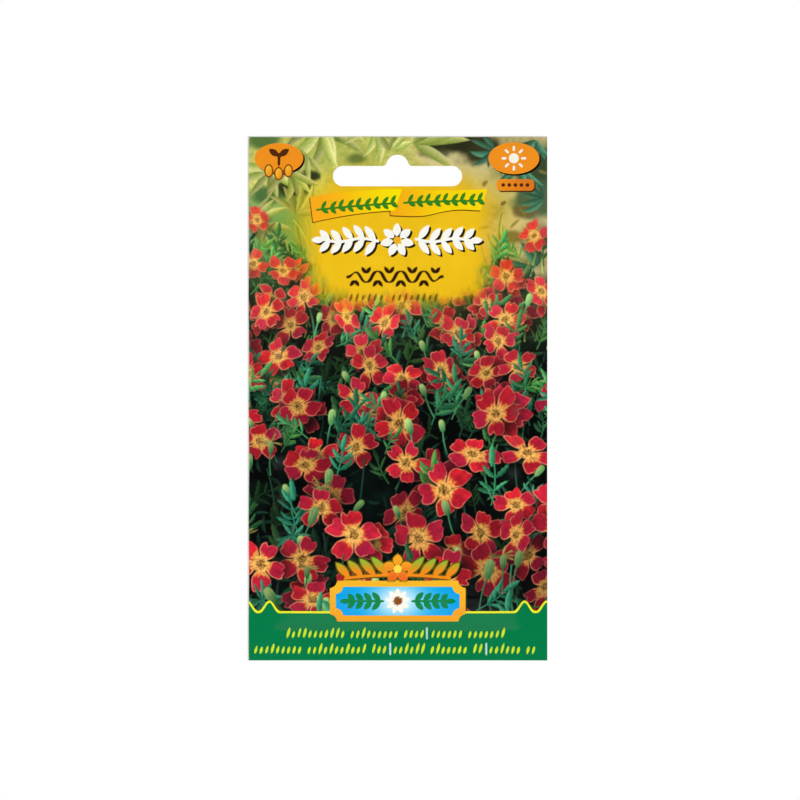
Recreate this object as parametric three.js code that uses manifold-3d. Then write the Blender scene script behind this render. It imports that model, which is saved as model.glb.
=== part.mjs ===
// A seed packet that hangs from a shop peg: a printed front sheet and a back sheet, sealed to each
// other all round, a hang slot punched through the sealed header, and the loose marigold seeds.
// Millimetres. +Z is up, the printed front faces -Y, and +X is to the right of someone facing it.
// The origin is where a peg carries the packet: the crown of the hang slot, between the two sheets.

import * as THREE from "three";
import { mergeVertices } from "three/addons/utils/BufferGeometryUtils.js";
import Module from "manifold-3d";

// The flat packet, with its top edge a little above the slot's crown.
const PACKET_WIDTH = 80;
const PACKET_HEIGHT = 140;
const CROWN_BELOW_TOP_EDGE = 5;
const SHEET_THICKNESS = 0.15;

// Flat sealed borders, where the two sheets meet face to face.
const SIDE_SEAL = 6;
const BOTTOM_SEAL = 8;
const HEADER_SEAL = 22;

// The hang slot: a bar with round ends, and a hump in its middle that keeps the packet centred.
const SLOT_WIDTH = 34.5;
const SLOT_BAR_HEIGHT = 5.4;
const SLOT_CROWN_RADIUS = 3;
const SLOT_FILLET_RADIUS = 1.1;
const SLOT_ARC_STEPS = 8;

// How far each sheet stands out from the seal plane at the fullest place, a third of the way up.
const FRONT_FULLNESS = 2.6;
const BACK_FULLNESS = 2.0;
const ACROSS_POWER = 4;
const ACROSS_ROUNDING = 0.75;
const UPWARD_SKEW = 0.62;
const UPWARD_ROUNDING = 0.75;
const GRID_COLUMNS = 14;
const GRID_ROWS = 22;

// Marigold seeds: slender achenes with a tuft at one end, lying across the bottom of the pouch.
const SEED_COUNT = 58;
const SEED_LENGTH = 7.5;
const SEED_DIAMETER = 0.9;
const SEED_SIDES = 6;
const SEED_GAP = 0.32;
const SEED_COLUMNS = 7;
const SEED_COLUMN_PITCH = 8.2;
const SEED_TILTS = [7, -5, 9, -8, 5, -9, 6].map(THREE.MathUtils.degToRad);
const SEED_WALL_CLEARANCE = 0.3;
const SEED_MOST_DEEP = 3;

const TOP_EDGE = CROWN_BELOW_TOP_EDGE;
const BOTTOM_EDGE = TOP_EDGE - PACKET_HEIGHT;
const POUCH_HALF_WIDTH = PACKET_WIDTH / 2 - SIDE_SEAL;
const POUCH_BOTTOM = BOTTOM_EDGE + BOTTOM_SEAL;
const POUCH_TOP = TOP_EDGE - HEADER_SEAL;
const SLOT_BAR_CENTRE = -(SLOT_BAR_HEIGHT / 2 + SLOT_CROWN_RADIUS);

const FRONT = -1;
const BACK = 1;

const wasm = await Module();
wasm.setup();

// How full the pouch is at (x, z), from 0 on its sealed border to 1 at the fullest place.
// Across, it is 1 less a fourth power, so it stays full nearly to the side seals. Upwards, it is a
// sine arch whose top is pulled down towards the seeds.
function fullness(x, z) {
  const across = Math.min(Math.abs(x) / POUCH_HALF_WIDTH, 1);
  const up = THREE.MathUtils.clamp((z - POUCH_BOTTOM) / (POUCH_TOP - POUCH_BOTTOM), 0, 1);
  const arch = Math.max(Math.sin(Math.PI * up ** UPWARD_SKEW), 0);
  return (1 - across ** ACROSS_POWER) ** ACROSS_ROUNDING * arch ** UPWARD_ROUNDING;
}

// Grid lines from low to high, closer together at both ends, where the sheet leaves its seal.
function crowdedAtEnds(low, high, steps) {
  return Array.from({ length: steps + 1 }, (_, i) => {
    const share = (1 - Math.cos((Math.PI * i) / steps)) / 2;
    return low + (high - low) * share;
  });
}

function solidOf(geometry) {
  const bare = new THREE.BufferGeometry();
  bare.setAttribute("position", geometry.getAttribute("position"));
  bare.setIndex(geometry.getIndex());
  const merged = mergeVertices(bare);
  const mesh = new wasm.Mesh({
    numProp: 3,
    vertProperties: merged.attributes.position.array,
    triVerts: new Uint32Array(merged.index.array),
  });
  return new wasm.Manifold(mesh);
}

function geometryOf(solid) {
  const { vertProperties, triVerts } = solid.getMesh();
  const geometry = new THREE.BufferGeometry();
  geometry.setAttribute("position", new THREE.BufferAttribute(vertProperties, 3));
  geometry.setIndex(new THREE.BufferAttribute(triVerts, 1));
  geometry.computeVertexNormals();
  return geometry;
}

// A prism through both sheets with the outline of the hang slot. The two fillets touch the bar's
// top edge and the crown, whose centre lies on that edge.
function slotPunch() {
  const halfBar = SLOT_BAR_HEIGHT / 2;
  const endCentre = SLOT_WIDTH / 2 - halfBar;
  const filletHeight = halfBar + SLOT_FILLET_RADIUS;
  const filletReach = Math.sqrt(
    SLOT_CROWN_RADIUS ** 2 + 2 * SLOT_CROWN_RADIUS * SLOT_FILLET_RADIUS,
  );
  const meeting = Math.atan2(SLOT_FILLET_RADIUS, filletReach);
  const outline = new THREE.Shape();
  outline.moveTo(-endCentre, -halfBar);
  outline.lineTo(endCentre, -halfBar);
  outline.absarc(endCentre, 0, halfBar, -Math.PI / 2, Math.PI / 2, false);
  outline.absarc(
    filletReach, filletHeight, SLOT_FILLET_RADIUS, -Math.PI / 2, meeting - Math.PI, true,
  );
  outline.absarc(0, halfBar, SLOT_CROWN_RADIUS, meeting, Math.PI - meeting, false);
  outline.absarc(
    -filletReach, filletHeight, SLOT_FILLET_RADIUS, -meeting, -Math.PI / 2, true,
  );
  outline.absarc(-endCentre, 0, halfBar, Math.PI / 2, (3 * Math.PI) / 2, false);
  const reach = 2;
  const prism = new THREE.ExtrudeGeometry(outline, {
    depth: 2 * reach,
    bevelEnabled: false,
    curveSegments: SLOT_ARC_STEPS,
  });
  prism.rotateX(Math.PI / 2);
  prism.translate(0, reach, SLOT_BAR_CENTRE);
  return solidOf(prism);
}

// One sheet as a closed thin shell on a grid: its inner face lies on the seal plane at the borders
// and stands off it over the pouch, and its outer face is one sheet thickness further out.
function sheetGeometry(side, mostFull) {
  const halfWidth = PACKET_WIDTH / 2;
  const columns = [
    -halfWidth,
    ...crowdedAtEnds(-POUCH_HALF_WIDTH, POUCH_HALF_WIDTH, GRID_COLUMNS),
    halfWidth,
  ];
  const rows = [
    BOTTOM_EDGE,
    ...crowdedAtEnds(POUCH_BOTTOM, POUCH_TOP, GRID_ROWS),
    TOP_EDGE,
  ];
  const across = columns.length;
  const inner = [];
  const outer = [];
  for (const z of rows) {
    for (const x of columns) {
      const stand = mostFull * fullness(x, z);
      inner.push(x, side * stand, z);
      outer.push(x, side * (stand + SHEET_THICKNESS), z);
    }
  }
  const innerStart = outer.length / 3;
  const at = (column, row) => row * across + column;
  const triangles = [];
  // Corners run anticlockwise as seen from outside the back sheet, so the front sheet's are turned.
  const quad = (a, b, c, d) => {
    triangles.push(...(side === BACK ? [a, c, b, a, d, c] : [a, b, c, a, c, d]));
  };
  for (let row = 0; row + 1 < rows.length; row += 1) {
    for (let column = 0; column + 1 < across; column += 1) {
      const corners = [
        at(column, row), at(column + 1, row), at(column + 1, row + 1), at(column, row + 1),
      ];
      quad(...corners);
      quad(...corners.map((corner) => corner + innerStart).reverse());
    }
  }
  const rim = (from, to) => quad(from + innerStart, to + innerStart, to, from);
  const lastRow = rows.length - 1;
  const lastColumn = across - 1;
  for (let column = 0; column < lastColumn; column += 1) {
    rim(at(column, 0), at(column + 1, 0));
    rim(at(column + 1, lastRow), at(column, lastRow));
  }
  for (let row = 0; row < lastRow; row += 1) {
    rim(at(lastColumn, row), at(lastColumn, row + 1));
    rim(at(0, row + 1), at(0, row));
  }
  const shell = new THREE.BufferGeometry();
  shell.setAttribute("position", new THREE.Float32BufferAttribute([...outer, ...inner], 3));
  shell.setIndex(triangles);
  return geometryOf(solidOf(shell).subtract(slotPunch()));
}

// A seed lying along X: a ribbed spindle with a narrow neck, then a tuft that closes to a point.
function seedGeometry() {
  const radius = SEED_DIAMETER / 2;
  const profile = [
    [0, 0],
    [0.4, 0.05],
    [1, 0.45],
    [0.55, 0.66],
    [0.8, 0.74],
    [0, 1],
  ].map(([wide, along]) => new THREE.Vector2(wide * radius, (along - 0.5) * SEED_LENGTH));
  const seed = new THREE.LatheGeometry(profile, SEED_SIDES);
  seed.rotateZ(-Math.PI / 2);
  return seed;
}

// The room between the two sheets at (x, z).
function roomAt(x, z) {
  return (FRONT_FULLNESS + BACK_FULLNESS) * fullness(x, z);
}

// Where the seeds lie: each column of seeds is a stack, and each next seed goes on the lowest
// stack. A layer lies one, two or three deep, as the room between the sheets allows.
function seedPlaces() {
  const room = (x, z, tilt) => {
    const reach = SEED_LENGTH / 2;
    const end = Math.abs(x) + reach * Math.cos(tilt);
    return roomAt(end, z - reach * Math.abs(Math.sin(tilt)));
  };
  const pitch = SEED_DIAMETER + SEED_GAP;
  const stacks = Array.from({ length: SEED_COLUMNS }, (_, i) => {
    const x = (i - (SEED_COLUMNS - 1) / 2) * SEED_COLUMN_PITCH;
    const tilt = SEED_TILTS[i];
    let z = POUCH_BOTTOM;
    while (room(x, z, tilt) < SEED_DIAMETER + 2 * SEED_WALL_CLEARANCE) z += SEED_GAP;
    return { x, z, tilt };
  });
  const places = [];
  while (places.length < SEED_COUNT) {
    const stack = stacks.reduce((low, other) => (other.z < low.z ? other : low));
    const free = room(stack.x, stack.z, stack.tilt) - 2 * SEED_WALL_CLEARANCE + SEED_GAP;
    const deep = Math.min(Math.floor(free / pitch), SEED_MOST_DEEP);
    const middle = ((BACK_FULLNESS - FRONT_FULLNESS) / 2) * fullness(stack.x, stack.z);
    for (let layer = 0; layer < deep && places.length < SEED_COUNT; layer += 1) {
      const y = middle + (layer - (deep - 1) / 2) * pitch;
      places.push({ x: stack.x, y, z: stack.z, tilt: stack.tilt });
    }
    stack.z += pitch / Math.cos(stack.tilt);
  }
  return places;
}

const printedPaper = new THREE.MeshStandardMaterial({
  color: 0x6f5a32, roughness: 0.45, metalness: 0,
});
const backPaper = new THREE.MeshStandardMaterial({
  color: 0xe9e4cf, roughness: 0.55, metalness: 0,
});
const seedCoat = new THREE.MeshStandardMaterial({
  color: 0x1c1611, roughness: 0.8, metalness: 0,
});

function namedMesh(name, geometry, material) {
  const mesh = new THREE.Mesh(geometry, material);
  mesh.name = name;
  return mesh;
}

const packet = new THREE.Group();
packet.add(namedMesh("front_sheet", sheetGeometry(FRONT, FRONT_FULLNESS), printedPaper));
packet.add(namedMesh("back_sheet", sheetGeometry(BACK, BACK_FULLNESS), backPaper));

const seedShape = seedGeometry();
seedPlaces().forEach(({ x, y, z, tilt }, i) => {
  const seed = namedMesh(`seed_${String(i + 1).padStart(2, "0")}`, seedShape, seedCoat);
  seed.position.set(x, y, z);
  seed.rotation.y = tilt;
  packet.add(seed);
});

export default packet;
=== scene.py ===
# A printed garden seed packet hanging upright: a front sheet, a back sheet and the loose marigold seeds
# between them. Lengths in the drawing of the sheets are millimetres; meshes are written in metres, in the
# frame's own axes: +Z up, the printed front facing -Y, and the crown of the hang slot at the origin.
import math

import bmesh
import bpy
import numpy as np
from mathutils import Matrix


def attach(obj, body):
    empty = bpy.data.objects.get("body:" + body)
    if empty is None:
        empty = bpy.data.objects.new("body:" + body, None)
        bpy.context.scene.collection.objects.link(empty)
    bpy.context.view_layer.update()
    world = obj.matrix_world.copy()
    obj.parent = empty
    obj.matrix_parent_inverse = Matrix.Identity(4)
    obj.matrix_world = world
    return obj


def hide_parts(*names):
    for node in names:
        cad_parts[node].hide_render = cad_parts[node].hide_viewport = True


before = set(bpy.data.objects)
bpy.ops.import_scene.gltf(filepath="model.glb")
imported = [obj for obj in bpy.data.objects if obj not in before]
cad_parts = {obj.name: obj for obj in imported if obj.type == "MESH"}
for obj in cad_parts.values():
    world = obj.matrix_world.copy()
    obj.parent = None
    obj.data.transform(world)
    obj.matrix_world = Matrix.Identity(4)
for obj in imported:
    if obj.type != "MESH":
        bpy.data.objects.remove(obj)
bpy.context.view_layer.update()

# ----------------------------------------------------------------------------
# The camera. The packet is seen square from the front, level with its middle, and it stands a little above
# the centre of the picture.
PICTURE_SPAN = 0.2136
CAMERA_AWAY = 1.19
CAMERA_ACROSS = 0.00068
CAMERA_HEIGHT = -0.06548
NEAREST_SEEN = 0.01
SENSOR = 36.0


def placed(name, data):
    """A new object in the scene, at the origin, for a camera, a lamp or a mesh."""
    made = bpy.data.objects.new(name, data)
    bpy.context.scene.collection.objects.link(made)
    return made


camera_data = bpy.data.cameras.new("camera")
camera_data.sensor_width = SENSOR
camera_data.lens = SENSOR * CAMERA_AWAY / PICTURE_SPAN
camera_data.clip_start = NEAREST_SEEN
camera = placed("camera", camera_data)
camera.location = (CAMERA_ACROSS, -CAMERA_AWAY, CAMERA_HEIGHT)
camera.rotation_euler = (math.radians(90), 0, 0)
bpy.context.scene.camera = camera
bpy.context.scene.view_settings.view_transform = "Standard"

# ----------------------------------------------------------------------------
# The floor and the light. A round white floor lies under the hanging packet. Four large soft lights stand at
# the four corners, above the packet, and one hangs over it, so that both sides are evenly lit and nothing
# glares. Each light is its azimuth, elevation and power.
FLOOR_HEIGHT = -0.215
FLOOR_RINGS = (0.0, 0.12, 0.24, 0.36, 0.46)
FLOOR_TURNS = 96
LIGHTS = ((-52, 26, 9.0), (52, 26, 9.0), (-140, 30, 7.5), (140, 30, 7.5), (0, 88, 12.0))
LIGHT_AWAY = 1.35
LIGHT_SIZE = 1.1
LIGHT_CENTRE = -0.065
ROOM_BRIGHTNESS = 0.14


def fill(tree, socket, value):
    """Links value to the socket if it is another node's output, or else sets the socket to it."""
    if isinstance(value, bpy.types.NodeSocket):
        tree.links.new(value, socket)
    else:
        socket.default_value = (*value, 1.0) if socket.type == "RGBA" else value


def node(tree, kind, inputs=None, **settings):
    """A new node with the given properties and, by name or number, the given inputs."""
    made = tree.nodes.new(kind)
    for key, value in settings.items():
        setattr(made, key, value)
    for key, value in (inputs or {}).items():
        fill(tree, made.inputs[key], value)
    return made


def noise(tree, scale, detail=3.0, roughness=0.55, stretch=(1, 1, 1)):
    """A noise pattern on the piece's own metres, stretched along its axes."""
    place = node(tree, "ShaderNodeTexCoord").outputs["Object"]
    stretched = node(tree, "ShaderNodeMapping", {"Vector": place, "Scale": stretch}).outputs["Vector"]
    return node(tree, "ShaderNodeTexNoise", {"Vector": stretched, "Scale": scale, "Detail": detail,
                                             "Roughness": roughness}).outputs["Fac"]


def between(tree, value, low, high, to_low=0.0, to_high=1.0):
    """value carried from low..high to to_low..to_high, and held at its ends."""
    return node(tree, "ShaderNodeMapRange", {"Value": value, "From Min": low, "From Max": high,
                                             "To Min": to_low, "To Max": to_high}).outputs["Result"]


def mixed(tree, amount, first, second):
    """first where amount is 0 and second where it is 1."""
    return node(tree, "ShaderNodeMix", {0: amount, 6: first, 7: second}, data_type="RGBA").outputs[2]


def new_material(name):
    """A material, and the tree that its shader stands in."""
    made = bpy.data.materials.new(name)
    made.use_nodes = True
    return made, made.node_tree


def coat(tree, colour, roughness, gloss=0.5, height=None, rise=0.0):
    """Fills the shader's sockets, and dents its surface by height, rise metres from its 0 to its 1."""
    shader = tree.nodes["Principled BSDF"]
    fill(tree, shader.inputs["Base Color"], colour)
    fill(tree, shader.inputs["Roughness"], roughness)
    shader.inputs["Specular IOR Level"].default_value = gloss
    if height is not None:
        bump = node(tree, "ShaderNodeBump", {"Strength": 1.0, "Distance": rise, "Height": height})
        tree.links.new(bump.outputs["Normal"], shader.inputs["Normal"])


def ring_faces(rings, turns):
    """Quads from each ring of points to the next, closed all the way round."""
    i, j = np.meshgrid(np.arange(rings - 1), np.arange(turns), indexing="ij")
    after = (j + 1) % turns
    return np.stack([i * turns + j, i * turns + after, (i + 1) * turns + after, (i + 1) * turns + j],
                    2).reshape(-1, 4)


radius = np.array(FLOOR_RINGS)[:, None]
turn = np.linspace(0, 2 * np.pi, FLOOR_TURNS, endpoint=False)[None, :]
floor_points = np.stack([radius * np.cos(turn), radius * np.sin(turn), radius * 0 * turn + FLOOR_HEIGHT], 2)
floor_mesh = bpy.data.meshes.new("floor")
floor_mesh.from_pydata(floor_points.reshape(-1, 3).tolist(), [],
                       ring_faces(len(FLOOR_RINGS), FLOOR_TURNS)[:, ::-1].tolist())
floor_finish, tree = new_material("white_floor")
coat(tree, mixed(tree, noise(tree, 3.0), (0.93, 0.93, 0.93), (0.95, 0.95, 0.95)), 0.9, 0.1)
floor_mesh.materials.append(floor_finish)
floor = placed("floor", floor_mesh)

for azimuth, elevation, power in LIGHTS:
    lamp_data = bpy.data.lights.new("soft_light", "AREA")
    lamp_data.shape = "SQUARE"
    lamp_data.size = LIGHT_SIZE
    lamp_data.energy = power
    lamp = placed("soft_light", lamp_data)
    turn, up = math.radians(azimuth), math.radians(elevation)
    lamp.location = (LIGHT_AWAY * math.sin(turn) * math.cos(up), -LIGHT_AWAY * math.cos(turn) * math.cos(up),
                     LIGHT_AWAY * math.sin(up) + LIGHT_CENTRE)
    lamp.rotation_euler = (math.radians(90) - up, 0, turn)
    lamp.visible_camera = False

world = bpy.data.worlds.new("white_room")
world.use_nodes = True
tree = world.node_tree
room = tree.nodes["Background"].inputs
seen = node(tree, "ShaderNodeLightPath").outputs["Is Camera Ray"]
fill(tree, room["Color"], (1, 1, 1))
fill(tree, room["Strength"], between(tree, seen, 0, 1, ROOM_BRIGHTNESS, 1.0))
bpy.context.scene.world = world

# ----------------------------------------------------------------------------
# The front sheet. The real one is coated paper, printed with a picture of a marigold bed, sealed flat to the
# back sheet along all four borders, and bulging over the pouch between them. The hang slot is punched
# through both.
SHEET_WIDTH = 80.0
SHEET_HEIGHT = 140.0
SHEET_THICKNESS = 0.15
SHEET_EDGE = SHEET_WIDTH / 2
TOP_EDGE = 5.0
BOTTOM_EDGE = TOP_EDGE - SHEET_HEIGHT
SHEET_MIDDLE = (BOTTOM_EDGE + TOP_EDGE) / 2
POUCH_HALF_WIDTH = 34.0
POUCH_BOTTOM = BOTTOM_EDGE + 8.0
POUCH_TOP = TOP_EDGE - 22.0
FRONT_FULLNESS = 2.6
BACK_FULLNESS = 2.0
ACROSS_POWER = 4
ACROSS_ROUNDING = 0.75
UPWARD_SKEW = 0.62
UPWARD_ROUNDING = 0.75
SEED_LUMPS = 0.10
SEAL_PULLS = 0.11
HANDLING_DENTS = 0.16
EDGE_WARP = 0.42
FRONT_RELIEF_DRAW = 40

SLOT_HALF_BAR = 2.7
SLOT_CENTRE = -5.7
SLOT_END = 14.55
CROWN_RADIUS = 3.0
CROWN_CENTRE = SLOT_CENTRE + SLOT_HALF_BAR
FILLET_RADIUS = 1.1
FILLET_REACH = math.sqrt(CROWN_RADIUS ** 2 + 2 * CROWN_RADIUS * FILLET_RADIUS)

COLUMNS = 222
ROWS = 388
LINING_PITCH = 0.72
FINE_LINING_HALF = 18.72
FINE_LINING_BOTTOM = -9.4
SHARP_ANGLE = 50
FACE_STRIP = (0.002, 0.925)
LINING_STRIP = (0.958, 0.998)
EDGE_THREAD = 0.933
SLOT_THREAD = 0.945
THREAD_WIDTH = 0.006


def eased(low, high, x):
    """0 before low, 1 after high, and 3t^2 - 2t^3 between."""
    t = np.clip((x - low) / (high - low), 0, 1)
    return t * t * (3 - 2 * t)


def mottle(x, z, cell, seed):
    """Random values -1..1 on a lattice of the given cell, eased between its knots."""
    table = np.random.default_rng(seed).uniform(-1, 1, (64, 64))
    i, j = np.floor(x / cell).astype(int), np.floor(z / cell).astype(int)
    u, v = eased(0, 1, x / cell - i), eased(0, 1, z / cell - j)
    low, high = (table[i % 64, k % 64] * (1 - u) + table[(i + 1) % 64, k % 64] * u for k in (j, j + 1))
    return low * (1 - v) + high * v


def fullness(x, z):
    """How far the pouch is open, 0 on its border and 1 at the fullest place: across, 1 less a fourth power,
    and upwards a sine arch pulled down towards the seeds."""
    across = np.minimum(np.abs(x) / POUCH_HALF_WIDTH, 1)
    up = np.clip((z - POUCH_BOTTOM) / (POUCH_TOP - POUCH_BOTTOM), 0, 1)
    arch = np.maximum(np.sin(np.pi * up ** UPWARD_SKEW), 0)
    return (1 - across ** ACROSS_POWER) ** ACROSS_ROUNDING * arch ** UPWARD_ROUNDING


def soft_fullness(x, z):
    """fullness, with the first millimetres off each seal eased by 1 - exp(-(d / ease)^1.5)."""
    open_by = fullness(x, z)
    for distance, ease in ((POUCH_HALF_WIDTH - np.abs(x), 2.0), (z - POUCH_BOTTOM, 0.9),
                           (POUCH_TOP - z, 5.0)):
        open_by = open_by * (1 - np.exp(-(np.maximum(distance, 0) / ease) ** 1.5))
    return open_by


def relief(x, z, seed):
    """Small standing-out shapes in the paper, in mm: seeds that press from inside, pulls that run in from the
    side seals and die away, and slow dents from handling."""
    lumps = SEED_LUMPS * (1 + mottle(x, z, 3.4, seed)) * mottle(x * 0.3, z, 1.5, seed + 1) ** 2
    lumps = lumps * eased(-127, -124, z) * eased(-111, -116, z) * eased(31, 27, np.abs(x))
    side = POUCH_HALF_WIDTH - np.abs(x)
    wave = np.sin(z * 0.62 + 2.2 * mottle(x * 0 + 3, z, 17, seed + 2) + np.sign(x))
    pulls = SEAL_PULLS * (1 + wave) * np.exp(-(side / 5.5) ** 2) * eased(0, 2.5, side)
    pulls = pulls * eased(-127, -118, z) * eased(-17, -27, z)
    dents = HANDLING_DENTS * (1 + mottle(x, z, 19, seed + 3)) * soft_fullness(x, z)
    return lumps + pulls + dents


def warp(x, z):
    """How far both sheets bend away from the flat together, in mm, at their free side edges: a sixth power
    across and a sine wave upwards."""
    return EDGE_WARP * (np.abs(x) / SHEET_EDGE) ** 6 * np.sin(z * 0.066 + 0.6 + 0.5 * np.sign(x))


def slot_depth(x, z):
    """Distance in mm inside the hang slot's outline, negative outside it: a bar with round ends, a crown in
    its middle, and a fillet in each corner between them."""
    bar = SLOT_HALF_BAR - np.hypot(np.maximum(np.abs(x) - SLOT_END, 0), z - SLOT_CENTRE)
    crown = CROWN_RADIUS - np.hypot(x, z - CROWN_CENTRE)
    corner = (np.abs(x) < FILLET_REACH) & (z - CROWN_CENTRE < np.abs(x) * FILLET_RADIUS / FILLET_REACH)
    fillet = np.hypot(np.abs(x) - FILLET_REACH, z - CROWN_CENTRE - FILLET_RADIUS) - FILLET_RADIUS
    return np.where(corner & (z > CROWN_CENTRE - 1), fillet, np.maximum(bar, crown))


def skin(lines_x, lines_z, pitch):
    """A flat grid on the given lines, with the slot left open: quads with two or more corners well inside it
    go, and what is left beside it moves onto its outline. Returns x, z, quads, the grid place of each vertex
    and of each quad, and the outer and slot loops in order of angle with those angles."""
    wide = len(lines_x)
    x, z = (part.ravel() for part in np.meshgrid(lines_x, lines_z))
    step = 0.001

    def onto_outline(which):
        """Moves vertices along the gradient of the slot's depth until it is 0."""
        for _ in range(3):
            a, b = x[which], z[which]
            depth = slot_depth(a, b)
            slope_x = (slot_depth(a + step, b) - slot_depth(a - step, b)) / (2 * step)
            slope_z = (slot_depth(a, b + step) - slot_depth(a, b - step)) / (2 * step)
            size = slope_x ** 2 + slope_z ** 2
            x[which] -= depth * slope_x / size
            z[which] -= depth * slope_z / size

    depth = slot_depth(x, z)
    slope_x = (slot_depth(x + step, z) - depth) / step
    slope_z = (slot_depth(x, z + step) - depth) / step
    reach = 0.5 * pitch * np.maximum(np.abs(slope_x), np.abs(slope_z))
    row, column = np.meshgrid(np.arange(len(lines_z) - 1), np.arange(wide - 1), indexing="ij")
    corner = (row * wide + column).ravel()
    quads = np.stack([corner, corner + 1, corner + wide + 1, corner + wide], 1)
    kept = np.flatnonzero((depth > reach)[quads].sum(1) <= 1)
    quads = quads[kept]
    heads, tails = quads.ravel(), np.roll(quads, -1, 1).ravel()
    rim = heads[~np.isin(heads * len(x) + tails, tails * len(x) + heads)]
    by_slot = rim[slot_depth(x[rim], z[rim]) > -1.5]
    just_inside = np.flatnonzero((depth > -reach) & (depth <= reach))
    onto_outline(np.union1d(by_slot, np.intersect1d(just_inside, quads)))
    place, quads = np.unique(quads, return_inverse=True)
    loops = []
    for loop, middle in ((np.setdiff1d(rim, by_slot), SHEET_MIDDLE), (by_slot, SLOT_CENTRE)):
        angle = np.arctan2(z[loop] - middle, x[loop])
        order = np.argsort(angle)
        loops.append((np.searchsorted(place, loop[order]), angle[order]))
    return x[place], z[place], quads.reshape(-1, 4), place, kept, loops


def zipped(outer, outer_angle, inner, inner_angle):
    """Triangles between two closed loops. Each edge's apex is the vertex of the other loop that is reached
    after as many of its edges as have their middle before this edge's middle."""
    turn_outer = outer_angle + 0.5 * np.diff(outer_angle, append=outer_angle[0] + 2 * np.pi)
    turn_inner = inner_angle + 0.5 * np.diff(inner_angle, append=inner_angle[0] + 2 * np.pi)
    apex_inner = inner[np.searchsorted(turn_inner, turn_outer) % len(inner)]
    apex_outer = outer[np.searchsorted(turn_outer, turn_inner) % len(outer)]
    return np.concatenate([np.stack([outer, np.roll(outer, -1), apex_inner], 1),
                           np.stack([np.roll(inner, -1), inner, apex_outer], 1)])


def lining_lines(low, high, fine_low, fine_high):
    """Grid lines twice as close between fine_low and fine_high as elsewhere."""
    runs = ((low, fine_low, 2 * LINING_PITCH), (fine_low, fine_high, LINING_PITCH),
            (fine_high, high, 2 * LINING_PITCH))
    return np.unique(np.concatenate([np.linspace(start, stop, round((stop - start) / pitch) + 1)
                                     for start, stop, pitch in runs if stop > start]))


def bake_map(mesh, corners, parts, x, z):
    """A map for baking, where each face has its place: the printed face takes most of the width, the inner
    face a narrow strip beside it, and each of the two cut edges a thread between them, upwards by the angle
    round it. parts holds the corner counts of the printed face, the inner face, the outer and slot edges."""
    u, v = x[corners] / SHEET_WIDTH + 0.5, (z[corners] - BOTTOM_EDGE) / SHEET_HEIGHT
    printed = corners[:parts[0]].max()
    face, lining, edge, slot_edge = (slice(end - size, end) for size, end in zip(parts, np.cumsum(parts)))
    for part, (from_u, to_u) in ((face, FACE_STRIP), (lining, LINING_STRIP)):
        u[part] = from_u + (to_u - from_u) * u[part]
    for part, from_u, middle in ((edge, EDGE_THREAD, SHEET_MIDDLE), (slot_edge, SLOT_THREAD, SLOT_CENTRE)):
        which = corners[part]
        turn = (np.arctan2(z[which] - middle, x[which]) / (2 * np.pi) + 0.5).reshape(-1, 3)
        turn += (turn < 0.5) & (np.ptp(turn, axis=1) > 0.5)[:, None]
        u[part] = from_u + THREAD_WIDTH * (which > printed)
        v[part] = turn.ravel() * 0.98
    made = mesh.uv_layers.new(name="OFBake")
    made.data.foreach_set("uv", np.stack([u, 0.001 + 0.998 * v], 1).astype(np.float32).ravel())


def sheet_mesh(name, side, most_full, columns, rows, seed):
    """A closed sheet: a fine printed face, a coarser inner face, and their cut edges zipped together. The
    inner face stands off the seal plane by most_full times the soft fullness plus the relief, and the printed
    face one thickness further out. Returns the mesh, x and z of the printed face's vertices, and where they
    and its quads lie on its grid."""
    x, z, quads, place, kept, loops = skin(
        np.linspace(-SHEET_EDGE, SHEET_EDGE, columns + 1), np.linspace(BOTTOM_EDGE, TOP_EDGE, rows + 1),
        SHEET_WIDTH / columns)
    inner_x, inner_z, inner_quads, _, _, inner_loops = skin(
        lining_lines(-SHEET_EDGE, SHEET_EDGE, -FINE_LINING_HALF, FINE_LINING_HALF),
        lining_lines(BOTTOM_EDGE, TOP_EDGE, FINE_LINING_BOTTOM, TOP_EDGE), LINING_PITCH)
    count = len(x)
    all_x, all_z = np.concatenate([x, inner_x]), np.concatenate([z, inner_z])
    stand_off = most_full * soft_fullness(all_x, all_z) + relief(all_x, all_z, seed)
    stand_off[:count] += SHEET_THICKNESS
    points = np.stack([all_x, side * stand_off + warp(all_x, all_z), all_z], 1) / 1000
    outer_edge, slot_edge = (zipped(*loop, inner + count, angle) for loop, (inner, angle) in
                             zip(loops, inner_loops))
    faces = [quads, inner_quads[:, ::-1] + count, outer_edge[:, ::-1], slot_edge]
    if side > 0:
        faces = [part[:, ::-1] for part in faces]
    corners = np.concatenate([part.ravel() for part in faces])
    sizes = np.repeat([4, 4, 3, 3], [len(part) for part in faces])
    mesh = bpy.data.meshes.new(name)
    mesh.vertices.add(len(points))
    mesh.vertices.foreach_set("co", points.ravel())
    mesh.loops.add(len(corners))
    mesh.loops.foreach_set("vertex_index", corners)
    mesh.polygons.add(len(sizes))
    mesh.polygons.foreach_set("loop_start", np.cumsum(sizes) - sizes)
    mesh.update(calc_edges=True)
    mesh.polygons.foreach_set("material_index", (np.arange(len(sizes)) >= len(quads)).astype(int))
    mesh.polygons.foreach_set("use_smooth", np.ones(len(sizes), bool))
    mesh.set_sharp_from_angle(angle=math.radians(SHARP_ANGLE))
    bake_map(mesh, corners, [part.size for part in faces], all_x, all_z)
    return mesh, x, z, place, kept


def attribute(mesh, name, kind, domain, values, padding=0.0):
    """Stores values on the mesh's first points or corners, and padding on the rest."""
    made = mesh.attributes.new(name, kind, domain)
    field, wide = {"FLOAT": ("value", 1), "FLOAT_VECTOR": ("vector", 3), "FLOAT_COLOR": ("color", 4)}[kind]
    full = np.full((len(made.data), wide), padding, np.float32)
    full[:len(values), :min(wide, 3)] = values.reshape(len(values), -1)
    made.data.foreach_set(field, full.ravel())


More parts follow.
